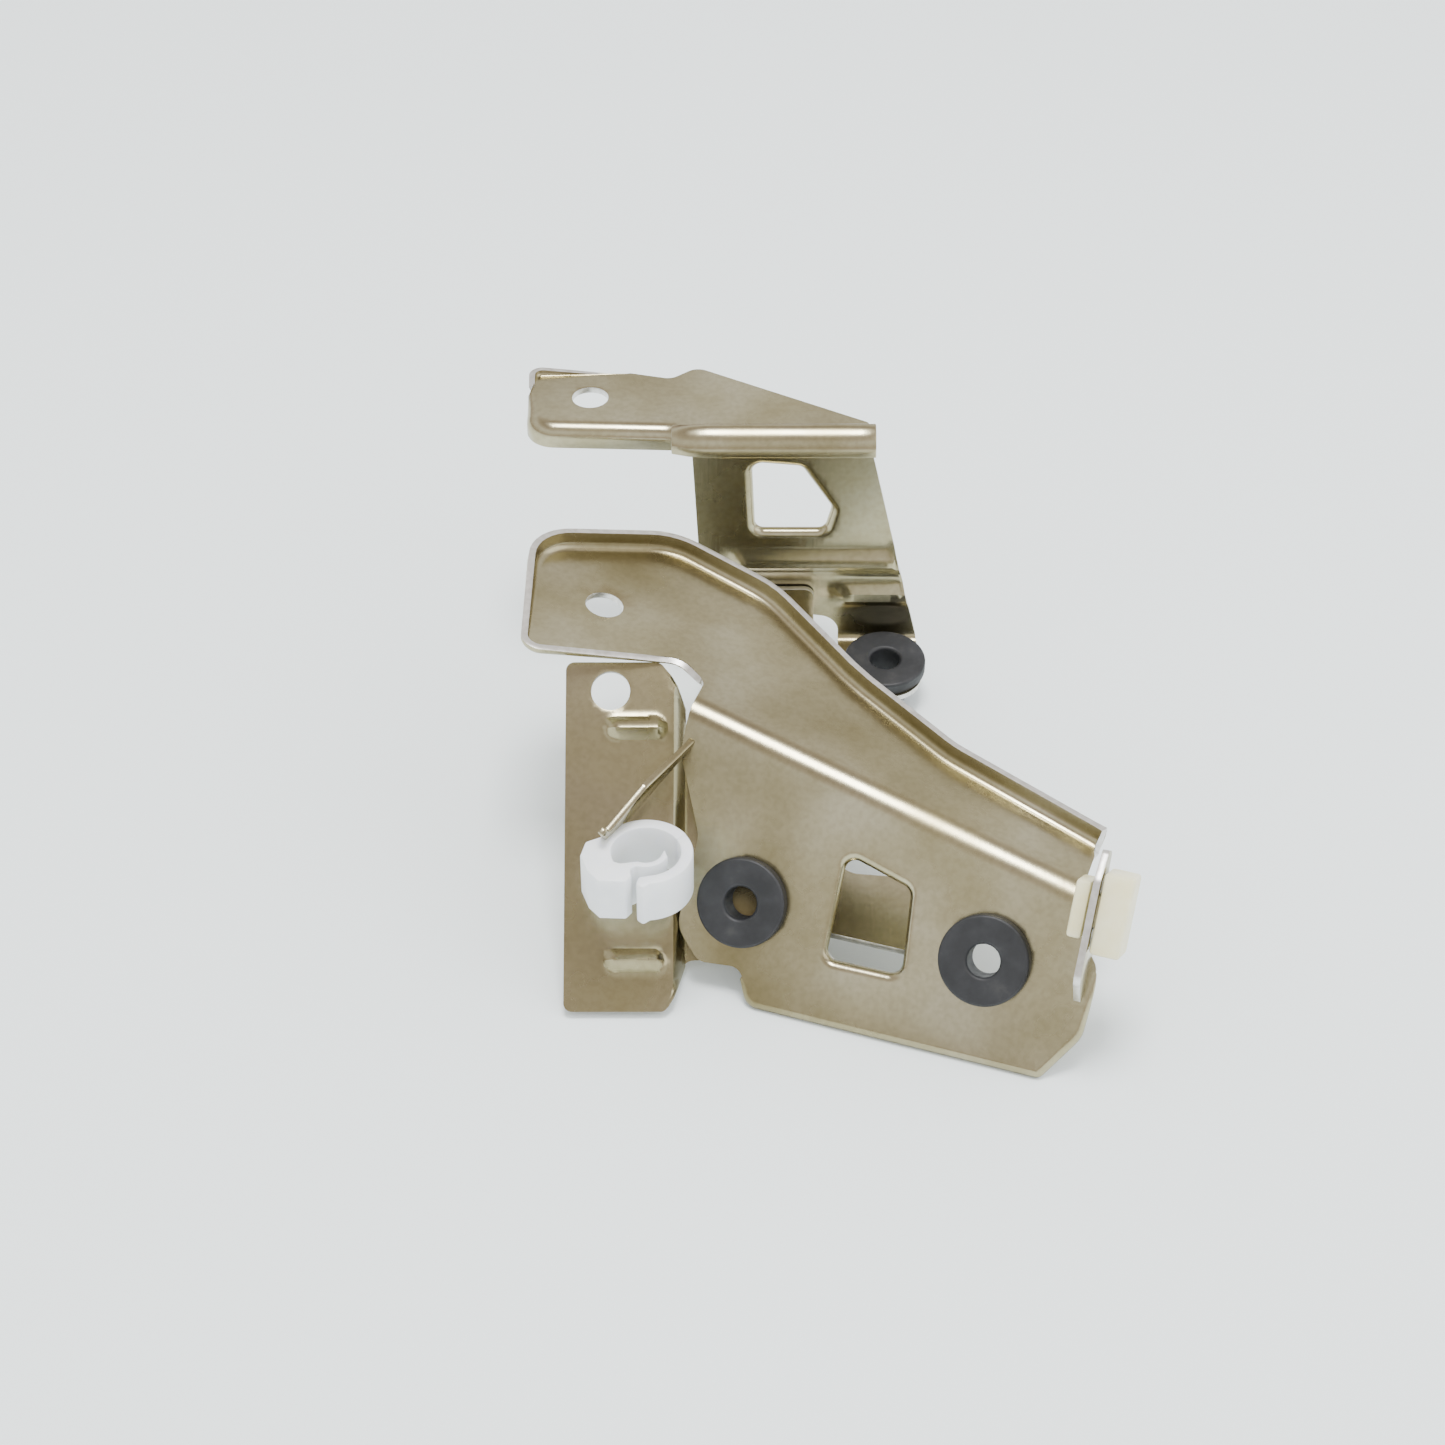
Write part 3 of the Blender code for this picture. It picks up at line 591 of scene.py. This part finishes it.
def add_piece(name, data, finish, nodes, body="bracket", thickness=0.0, bevel=EDGE_BEVEL):
    """A finished piece from a bmesh in millimetres. It rides on its body, if it has one, and
    stands for nodes."""
    bmesh.ops.recalc_face_normals(data, faces=data.faces)
    if thickness:
        data = thickened(data, thickness / 2)
    for vert in data.verts:
        vert.co = vert.co * MM + SHIFT
    mesh = bpy.data.meshes.new(name)
    data.to_mesh(mesh)
    data.free()
    mesh.materials.append(finish)
    if thickness:
        mesh.materials.append(CUT_EDGE)
    made = bpy.data.objects.new(name, mesh)
    bpy.context.scene.collection.objects.link(made)
    if bevel:
        edge = made.modifiers.new("edge", "BEVEL")
        edge.width = bevel * MM
        edge.segments = 2
        edge.limit_method = "ANGLE"
        edge.angle_limit = BEVEL_ANGLE
    bake(made)
    if body:
        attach(made, body)
    if nodes:
        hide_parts(*nodes)
    return made


# ---------------------------------------------------------------- pressed sheets


def edge_ring(outline, step, steps, radius, wall):
    """One ring of a rolled edge. Each point of the outline holds how far its edge is rolled."""
    ring = []
    for index, point in enumerate(outline):
        rim = point[2]
        inset = FREE_EDGE + (radius - FREE_EDGE) * min(1, abs(rim))
        angle = pi / 2 * min(1, step / steps)
        flat = inset * (1 - step / (steps + 1))
        shift = flat + (inset * (1 - sin(angle)) - flat) * min(1, abs(rim))
        rise = radius * (1 - cos(angle)) if step <= steps else wall
        normal = inward(outline, index)
        ring.append((point[0] + normal.x * shift, point[1] + normal.y * shift, rise * rim))
    return ring


def edge_rings(outline, steps, radius, wall):
    return [edge_ring(outline, step, steps, radius, wall) for step in range(steps + 2)]


def skin_rings(data, place, rings, last):
    """Joins each ring to the one before it with a band of quads."""
    for ring in rings:
        fresh = [data.verts.new(place(*point)) for point in ring]
        for i in range(len(ring)):
            j = (i + 1) % len(ring)
            data.faces.new((last[i], fresh[i], fresh[j], last[j]))
        last = fresh


def flared(corners, flare):
    """A window outline whose edge is drawn through by the given share of the flare radius.
    It runs clockwise, so that inward() points into the sheet."""
    points = [(x, y, flare) for x, y, _ in rounded_outline(corners)]
    points = split_edges(points, EDGE_STEP, ())
    if signed_area(points) > 0:
        points.reverse()
    return points


def pressed_sheet(corners, place, holes=(), flares=(), rows=(), grid=GRID_STEP):
    """The mid-surface of one pressing, with its rim turned up and its windows flared."""
    if signed_area(corners) < 0:
        corners = list(reversed(corners))
    outline = split_edges(rounded_outline(corners), EDGE_STEP, rows)
    rims = edge_rings(outline, RIM_STEPS, RIM_RADIUS, RIM_HEIGHT)
    flare_rings = [edge_rings(flare, FLARE_STEPS, FLARE_RADIUS, FLARE_RADIUS) for flare in flares]
    loops = [rims[0]] + [rings[0] for rings in flare_rings] + list(holes)
    openings = loops[1:]
    points = [Vector(point[:2]) for loop in loops for point in loop]
    edges = []
    first = 0
    for loop in loops:
        edges += [(first + i, first + (i + 1) % len(loop)) for i in range(len(loop))]
        first += len(loop)
    points += inner_points(rims[0], openings, rows, grid)
    found, _, faces, sources, _, _ = delaunay_2d_cdt(points, edges, [], INSIDE_CONSTRAINTS, WELD_DISTANCE)
    data = bmesh.new()
    spots = [data.verts.new(place(point.x, point.y, 0.0)) for point in found]
    for face in faces:
        x = sum(found[i].x for i in face) / len(face)
        y = sum(found[i].y for i in face) / len(face)
        if not any(contains(hole, x, y) for hole in openings):
            data.faces.new([spots[i] for i in face])
    by_source = {source: spots[i] for i, group in enumerate(sources) for source in group}
    first = 0
    for rings in [rims] + flare_rings:
        count = len(rings[0])
        skin_rings(data, place, rings[1:], [by_source[first + i] for i in range(count)])
        first += count
    loose = [vert for vert in data.verts if not vert.link_faces]
    bmesh.ops.delete(data, geom=loose, context="VERTS")
    return data


def inner_points(boundary, holes, rows, grid):
    """Grid points inside the boundary and outside the holes, with a line of them on each row."""
    xs = [point[0] for point in boundary]
    ys = [point[1] for point in boundary]
    heights = set(rows)
    y = min(ys) + grid / 2
    while y < max(ys):
        if all(abs(y - row) > grid / 2 for row in rows):
            heights.add(y)
        y += grid
    points = []
    for y in sorted(heights):
        clear = 0.5 if y in rows else grid / 3
        x = min(xs) + grid / 2
        while x < max(xs):
            clear_here = contains(boundary, x, y) and distance_to(boundary, x, y) > clear
            for hole in holes:
                clear_here = clear_here and not contains(hole, x, y)
                clear_here = clear_here and distance_to(hole, x, y) > clear
            if clear_here:
                points.append(Vector((x, y)))
            x += grid
    return points


def front_plate():
    corners = [
        (-30.5, -7.0, 3.0, 0.35),
        (-7.0, 9.0, 4.0, 0.1),
        (-0.5, 6.5, 2.0, 0.0),
        (0.5, -1.0, 1.0, 0.0),
        (2.0, -8.0, 1.5, 0.0),
        (11.0, -20.0, 5.0, 0.0),
        (14.0, -36.5, 5.0, 0.0),
        (20.0, -40.5, 3.0, 0.0),
        (27.5, -38.0, 2.5, 0.0),
        (31.0, -43.6, 2.5, -0.3),
        (82.5, -31.7, 1.0, -0.3),
        (86.0, -22.5, 5.0, -0.3),
        (84.0, -10.0, 3.0, 0.0),
        (78.5, -5.5, 1.5, 0.0),
        (76.0, 1.0, 1.5, 0.0),
        (74.6, 11.6, 0.0, 0.0),
        (74.4, 13.2, 0.0, 1.0),
        (44.0, 16.5, 16.0, 1.0),
        (22.0, 24.0, 30.0, 1.0),
        (-1.0, 36.0, 18.0, 1.0),
        (-23.0, 37.5, 12.0, 1.0),
        (-44.0, 20.5, 9.0, 1.0),
    ]
    window = flared(
        [
            (35.8, -11.0, 2.5, 0),
            (40.0, -30.6, 2.5, 0),
            (54.5, -27.0, 2.5, 0),
            (49.6, -11.6, 2.5, 0),
        ],
        -1.0,
    )
    holes = [circle(*ARM_HOLE, ARM_HOLE_RADIUS)]
    holes += [circle(*seat, SEAT_RADIUS) for seat in GROMMET_SEATS]
    rows = fold_rows(0.0, FOLD_RADIUS, ARM_FOLD)
    data = pressed_sheet(corners, place_front, holes, [window], rows)
    add_piece("front_plate_pressing", data, STEEL, ["front_plate"], thickness=SHEET)


def side_web():
    right = WEB_WIDTH + 2 * STEP_HALF + WEB_LAP
    lap_top = 30.0
    corners = [
        (0.0, 0.0, 1.5, 0),
        (WEB_WIDTH - 1.0, 0.0, 1.5, 0),
        (WEB_WIDTH + 2 * STEP_HALF, 9.5, 3.0, 0),
        (right, 10.0, 3.0, 0),
        (right - 2.0, lap_top - 4.0, 3.0, 0),
        (WEB_WIDTH + 2 * STEP_HALF + 2, lap_top + 10.0, 3.0, 0),
        (WEB_WIDTH + 2 * STEP_HALF, WEB_HEIGHT - 8, 3.0, 0),
        (WEB_WIDTH - 2.0, WEB_HEIGHT, 2.0, 0),
        (0.0, WEB_HEIGHT, 1.5, 0),
    ]
    holes = [circle(*WEB_HOLE, ARM_HOLE_RADIUS)]
    data = pressed_sheet(corners, place_web, holes, grid=WEB_GRID)
    add_piece("side_web_pressing", data, STEEL, ["side_web"], thickness=SHEET)


def rear_plate():
    seat_x, seat_y = REAR_SEAT
    corners = [
        (-37.0, 3.0, 5.0, -1.0),
        (PANEL_LEFT - 3.0, 1.9, 0.0, -1.0),
        (PANEL_LEFT - 1.8, 1.9, 0.0, 0.0),
        (PANEL_LEFT, 1.9, 0.0, 0.0),
        (PANEL_LEFT + 2.0, -38.0, 4.0, 0),
        (seat_x - 9.0, -42.0, 4.0, 0),
        (seat_x - 9.0, seat_y - 8.5, 8.0, 0),
        (seat_x + 8.0, seat_y - 8.5, 7.0, 0),
        (38.4, -46.0, 4.0, 0),
        (34.5, -29.0, 6.0, 0),
        (28.5, -2.0, 1.5, 0),
        (28.0, 4.0, 1.5, 0),
        (-5.0, 23.0, 3.0, 0),
        (-10.0, 19.0, 3.0, 0),
        (-18.0, 21.0, 6.0, 0),
        (-37.0, 21.0, 2.0, 0.4),
    ]
    window = flared(
        [
            (5.0, -4.5, 2.5, 0),
            (5.8, -21.5, 2.5, 0),
            (20.3, -21.5, 2.5, 0),
            (21.8, -15.5, 2.5, 0),
            (15.5, -5.5, 2.5, 0),
        ],
        -1.0,
    )
    holes = [circle(*REAR_HOLE, ARM_HOLE_RADIUS), circle(*REAR_SEAT, SEAT_RADIUS)]
    rows = fold_rows(0.0, REAR_FOLD_RADIUS, PANEL_FOLD)
    rows += fold_rows(-REAR_PANEL_DROP, REAR_FOLD_RADIUS, TAB_FOLD)
    data = pressed_sheet(corners, place_rear, holes, [window], sorted(rows), REAR_GRID)
    add_piece("rear_plate_pressing", data, STEEL, ["rear_plate"], thickness=SHEET)


def rear_arm_lip():
    """The doubled edge of the rear arm, which rolls down in front of the panel's top."""
    data = bmesh.new()
    columns = [LIP_LEFT + (LIP_RIGHT - LIP_LEFT) * i / LIP_COLUMNS for i in range(LIP_COLUMNS + 1)]
    rows = [LIP_BACK + (LIP_FOOT - LIP_BACK) * i / LIP_ROWS for i in range(LIP_ROWS + 1)]
    grid = []
    for across in rows:
        line = []
        for x in columns:
            rise = LIP_RISE * smooth((LIP_BACK - across) / 2) * smooth((x - LIP_LEFT) / 5)
            spot = place_rear(max(x, PANEL_LEFT), across, rise)
            line.append(data.verts.new((x, spot.y, spot.z)))
        grid.append(line)
    for upper, lower in zip(grid, grid[1:]):
        for i in range(LIP_COLUMNS):
            data.faces.new((upper[i], lower[i], lower[i + 1], upper[i + 1]))
    add_piece("rear_arm_lip", data, STEEL, [], thickness=SHEET)


def cross_plate():
    length = REAR_PANEL_Y - SHEET - GAP - CROSS_FRONT_Y
    front = -CROSS_UPTURN
    rear = length + CROSS_UPTURN
    corners = [
        (CROSS_LEFT + 2, front, 2.0, 0),
        (WING_SLOT[0], front, 2.0, 0),
        (WING_SLOT[0], -0.6, 0.4, 0),
        (WING_SLOT[1], -0.6, 0.4, 0),
        (WING_SLOT[1], -15.5, 1.0, 0),
        (39.0, -24.0, 3.0, 0),
        (41.0, -4.0, 3.0, 0),
        (23.0, -2.0, 4.0, 0),
        (CROSS_RIGHT, 3.0, 3.0, 0),
        (CROSS_RIGHT, 8.0, 0.0, 0.5),
        (CROSS_RIGHT, length - 8, 2.0, 0.5),
        (CROSS_RIGHT - 1, length - 4, 0.0, 0),
        (CROSS_RIGHT - 1, rear, 2.0, 0),
        (CROSS_LEFT + 1, rear, 2.0, 0),
        (CROSS_LEFT + 1, length - 4, 0.0, 0),
        (CROSS_LEFT, length - 8, 2.0, 0.5),
        (CROSS_LEFT, 10.0, 2.0, 0.5),
        (CROSS_LEFT + 2, 5.0, 0.0, 0),
    ]
    rows = fold_rows(0.0, REAR_FOLD_RADIUS, pi / 2 + WEB_LEAN)
    rows += fold_rows(length, REAR_FOLD_RADIUS, PANEL_FOLD)
    data = pressed_sheet(corners, place_cross, (), (), rows)
    add_piece("cross_plate_pressing", data, STEEL, ["cross_plate"], thickness=SHEET)


def prism(points, place, low, high):
    """A closed block: a flat outline pushed from low to high."""
    data = bmesh.new()
    bottom = [data.verts.new(place(x, y, low)) for x, y, *_ in points]
    top = [data.verts.new(place(x, y, high)) for x, y, *_ in points]
    data.faces.new(list(reversed(bottom)))
    data.faces.new(top)
    for index in range(len(points)):
        data.faces.new((bottom[index - 1], bottom[index], top[index], top[index - 1]))
    return data


def carrier_strip():
    """The narrow strip that stands out of the face's left edge and carries the cable clip."""
    along = (STRIP_END - STRIP_START).normalized()
    length = (STRIP_END - STRIP_START).length
    flat = along.cross(FACE_OUT).normalized()
    out = flat.cross(along).normalized()
    if out.dot(FACE_OUT) < 0:
        out = -out

    def place(x, y, z):
        return STRIP_START + along * x + out * y + flat * z

    corners = [
        (-1.0, -0.3, 0.0, 0),
        (length - 1.0, 0.8, 0.5, 0),
        (length, STRIP_WIDTH + 2.6, 0.4, 0),
        (length - 1.3, STRIP_WIDTH + 2.6, 0.4, 0),
        (length - 1.8, STRIP_WIDTH, 0.4, 0),
        (length - 12, STRIP_WIDTH, 1.5, 0),
        (3.0, 2.6, 2.0, 0),
        (-1.0, 1.0, 0.0, 0),
    ]
    data = prism(rounded_outline(corners), place, -SHEET / 2, SHEET / 2)
    add_piece("carrier_strip", data, STEEL, [])


def plate_with_window(outline, window, place):
    """A flat mid-surface between an outline and a window."""
    points = [Vector(point[:2]) for point in list(outline) + list(window)]
    count = len(outline)
    edges = [(i, (i + 1) % count) for i in range(count)]
    edges += [(count + i, count + (i + 1) % len(window)) for i in range(len(window))]
    found, _, faces, _, _, _ = delaunay_2d_cdt(points, edges, [], INSIDE_CONSTRAINTS, WELD_DISTANCE)
    data = bmesh.new()
    spots = [data.verts.new(place(point.x, point.y, 0.0)) for point in found]
    for face in faces:
        x = sum(found[i].x for i in face) / len(face)
        y = sum(found[i].y for i in face) / len(face)
        if not contains([(*point, 0) for point in window], x, y):
            data.faces.new([spots[i] for i in face])
    return data


def insert_lug():
    """The lug stands out of the face's right edge and has a square window for the insert."""
    outer = rounded_outline(
        [
            (-0.3, 15.5, 0.0, 0),
            (3.0, 14.5, 1.0, 0),
            (9.5, 19.0, 3.0, 0),
            (9.5, 36.5, 3.0, 0),
            (6.0, 41.5, 1.5, 0),
            (2.0, 41.0, 1.5, 0),
            (0.2, 33.0, 1.5, 0),
            (0.2, 27.5, 0.5, 0),
            (-0.3, 25.5, 0.0, 0),
        ]
    )
    out, up = LUG_SEAT
    half = LUG_SEAT_HALF
    square = [
        (out - half, up - half),
        (out - half, up + half),
        (out + half, up + half),
        (out + half, up - half),
    ]
    data = plate_with_window(outer, square, lug_place)
    add_piece("insert_lug", data, STEEL, [], thickness=SHEET)


# ---------------------------------------------------------------- grommets, insert and clip


def rounded_profile(corners):
    """A closed profile of (radius, height) points whose corners are eased."""
    eased = [(x, y, ease, 0) for x, y, ease in corners]
    return [(x, y) for x, y, _ in rounded_outline(eased)]


def grommet(node, centre, axis):
    """A rubber ring: a wide lip on each side of the sheet and a narrow neck through it."""
    near = SHEET / 2 + 0.05
    far = SHEET / 2 + GAP + GROMMET_LIP
    small = GROMMET_RADIUS - BACK_LIP_LESS
    profile = rounded_profile(
        [
            (GROMMET_BORE, -far, 0.5),
            (small, -far, 0.7),
            (small, -near, 0.15),
            (GROMMET_NECK, -near, 0.0),
            (GROMMET_NECK, near, 0.0),
            (GROMMET_RADIUS, near, 0.15),
            (GROMMET_RADIUS, far, 0.55),
            (GROMMET_BORE, far, 0.7),
        ]
    )
    data = bmesh.new()
    turn = axis.to_track_quat("Z", "Y").to_matrix()
    rings = []
    for step in range(TURN_STEPS):
        angle = 2 * pi * step / TURN_STEPS
        spots = [Vector((r * cos(angle), r * sin(angle), h)) for r, h in profile]
        rings.append([data.verts.new(centre + turn @ spot) for spot in spots])
    for step in range(TURN_STEPS):
        here, following = rings[step - 1], rings[step]
        for i in range(len(profile)):
            j = (i + 1) % len(profile)
            data.faces.new((here[i], following[i], following[j], here[j]))
    add_piece(node + "_rubber", data, RUBBER, [node], bevel=0)


def all_grommets():
    for name, seat in zip(("front_left_grommet", "front_right_grommet"), GROMMET_SEATS):
        grommet(name, place_front(*seat, 0.0), FACE_OUT)
    centre = place_rear(*REAR_SEAT, 0.0)
    axis = (place_rear(*REAR_SEAT, 1.0) - centre).normalized()
    grommet("rear_grommet", centre, axis)


def insert_block(size, along):
    out, up = LUG_SEAT
    half_out, half_up = size.y / 2, size.z / 2
    square = [
        (out - half_out, up - half_up),
        (out + half_out, up - half_up),
        (out + half_out, up + half_up),
        (out - half_out, up + half_up),
    ]
    return prism(square, lug_place, along, along + size.x)


def nylon_insert():
    face = SHEET / 2 + GAP
    seat = 2 * LUG_SEAT_HALF - NECK_SLACK
    body = insert_block(INSERT_BODY, face)
    add_piece("insert_body", body, AMBER, ["nylon_insert"], bevel=INSERT_EASE)
    head = insert_block(INSERT_HEAD, -face - INSERT_HEAD.x)
    add_piece("insert_head", head, AMBER, [], bevel=INSERT_EASE)
    neck_size = Vector((2 * (face + NECK_OVERLAP), seat, seat))
    neck = insert_block(neck_size, -face - NECK_OVERLAP)
    add_piece("insert_neck", neck, AMBER, [], bevel=0)


def clip_place(x, y, z):
    return CLIP_CENTRE + Vector((x, y, z))


def clip_arc(start, end, radius, step=radians(5)):
    count = max(2, ceil(abs(end - start) / step))
    angles = [start + (end - start) * i / count for i in range(count + 1)]
    return [(radius * cos(angle), radius * sin(angle)) for angle in angles]


def clip_body():
    """A ring open at the front, with a slotted block on its left and a tongue curled inside."""
    outer = CLIP_RADIUS + CLIP_WALL / 2
    inner = CLIP_RADIUS - CLIP_WALL / 2
    tongue = inner - 1.6
    block_left, block_front = -10.5, -7.5
    start = JAW_START - JAW_OVERLAP
    ring = clip_arc(start, radians(150), outer)
    ring += [(block_left, 2.4), (block_left - 0.8, -1.0), (block_left + 0.6, block_front + 2.4)]
    ring += [(-8.0, block_front), (-3.4, block_front - 0.2), (-2.4, block_front + 1.2)]
    ring += [(-2.6, -4.4)]
    ring += clip_arc(radians(-112), radians(-20), tongue - 0.4)
    ring += [(tongue - 1.2, 0.6)]
    ring += clip_arc(radians(-24), radians(-118), tongue - 1.6)
    ring += [(-4.4, -3.0)]
    ring += clip_arc(radians(205), start, inner)
    data = prism(ring, clip_place, 0.0, CLIP_HEIGHT)
    add_piece("cable_clip_moulding", data, WHITE, ["cable_clip"], bevel=CLIP_EASE)


def clip_jaw():
    """The springy right side of the clip. It is one moulding with the ring, so it bends."""
    outer = CLIP_RADIUS + CLIP_WALL / 2
    inner = CLIP_RADIUS - CLIP_WALL / 2
    outline = clip_arc(JAW_START, JAW_END, outer)
    outline += [(-0.4, -9.2), (-1.6, -8.2), (-1.2, -6.4)]
    outline += clip_arc(JAW_END, JAW_START, inner)
    data = prism(outline, clip_place, 0.02, CLIP_HEIGHT - 0.02)
    jaw = add_piece(
        "clip_jaw_moulding", data, WHITE, ["clip_jaw"], body=None, bevel=CLIP_EASE
    )
    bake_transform(jaw)


# ---------------------------------------------------------------- studio


def area_light(name, size, power, position, colour=(1, 1, 1)):
    lamp = bpy.data.lights.new(name, "AREA")
    lamp.size = size
    lamp.energy = power
    lamp.color = colour
    made = bpy.data.objects.new(name, lamp)
    made.location = position
    turn = (Vector(LIGHT_AIM) - Vector(position)).to_track_quat("-Z", "Y")
    made.rotation_euler = turn.to_euler()
    bpy.context.scene.collection.objects.link(made)


def studio():
    """A pale floor, two soft lights, and a sky that metal reflects with brown bands in it."""
    floor_data = bmesh.new()
    bmesh.ops.create_grid(floor_data, x_segments=1, y_segments=1, size=FLOOR_SIZE)
    mesh = bpy.data.meshes.new("floor")
    floor_data.to_mesh(mesh)
    floor_data.free()
    floor = bpy.data.objects.new("floor", mesh)
    finish, _, shader = nodes_of("pale_floor")
    shader.inputs["Base Color"].default_value = (0.90, 0.96, 0.96, 1)
    shader.inputs["Roughness"].default_value = 0.55
    mesh.materials.append(finish)
    bpy.context.scene.collection.objects.link(floor)

    world = bpy.data.worlds.new("studio")
    world.use_nodes = True
    bpy.context.scene.world = world
    tree = world.node_tree
    background = tree.nodes["Background"]
    direction = tree.nodes.new("ShaderNodeTexCoord")
    split = tree.nodes.new("ShaderNodeSeparateXYZ")
    tree.links.new(direction.outputs["Generated"], split.inputs["Vector"])
    sky = ramp(
        tree,
        split.outputs["Z"],
        [
            (0.00, (0.42, 0.31, 0.24)),
            (0.12, (0.58, 0.50, 0.43)),
            (0.35, (0.82, 0.81, 0.79)),
            (0.60, (0.86, 0.86, 0.85)),
            (0.70, (0.64, 0.58, 0.52)),
            (0.80, (0.50, 0.44, 0.38)),
            (0.93, (0.28, 0.22, 0.19)),
            (0.97, (1.0, 1.0, 1.0)),
        ],
    )
    path = tree.nodes.new("ShaderNodeLightPath")
    seen = mix(tree, path.outputs["Is Glossy Ray"], (0.95, 0.96, 0.97), sky)
    tree.links.new(seen, background.inputs["Color"])
    background.inputs["Strength"].default_value = SKY_STRENGTH
    area_light("overhead", 0.35, 12, (0.0, -0.05, 1.1))
    area_light("fill", 1.2, 7, (1.1, -0.2, 0.7), (0.96, 0.98, 1.0))


def camera():
    """In front of the bracket, looking down on it."""
    lens = bpy.data.cameras.new("camera")
    lens.lens = CAMERA_LENS
    lens.sensor_width = SENSOR_WIDTH
    made = bpy.data.objects.new("camera", lens)
    made.location = CAMERA_PLACE * MM + SHIFT
    made.rotation_euler = (pi / 2 - CAMERA_TILT, 0, 0)
    bpy.context.scene.collection.objects.link(made)
    bpy.context.scene.camera = made


def build():
    front_plate()
    side_web()
    rear_plate()
    rear_arm_lip()
    cross_plate()
    carrier_strip()
    insert_lug()
    all_grommets()
    nylon_insert()
    clip_body()
    clip_jaw()
    studio()
    camera()


build()
bpy.context.view_layer.update()
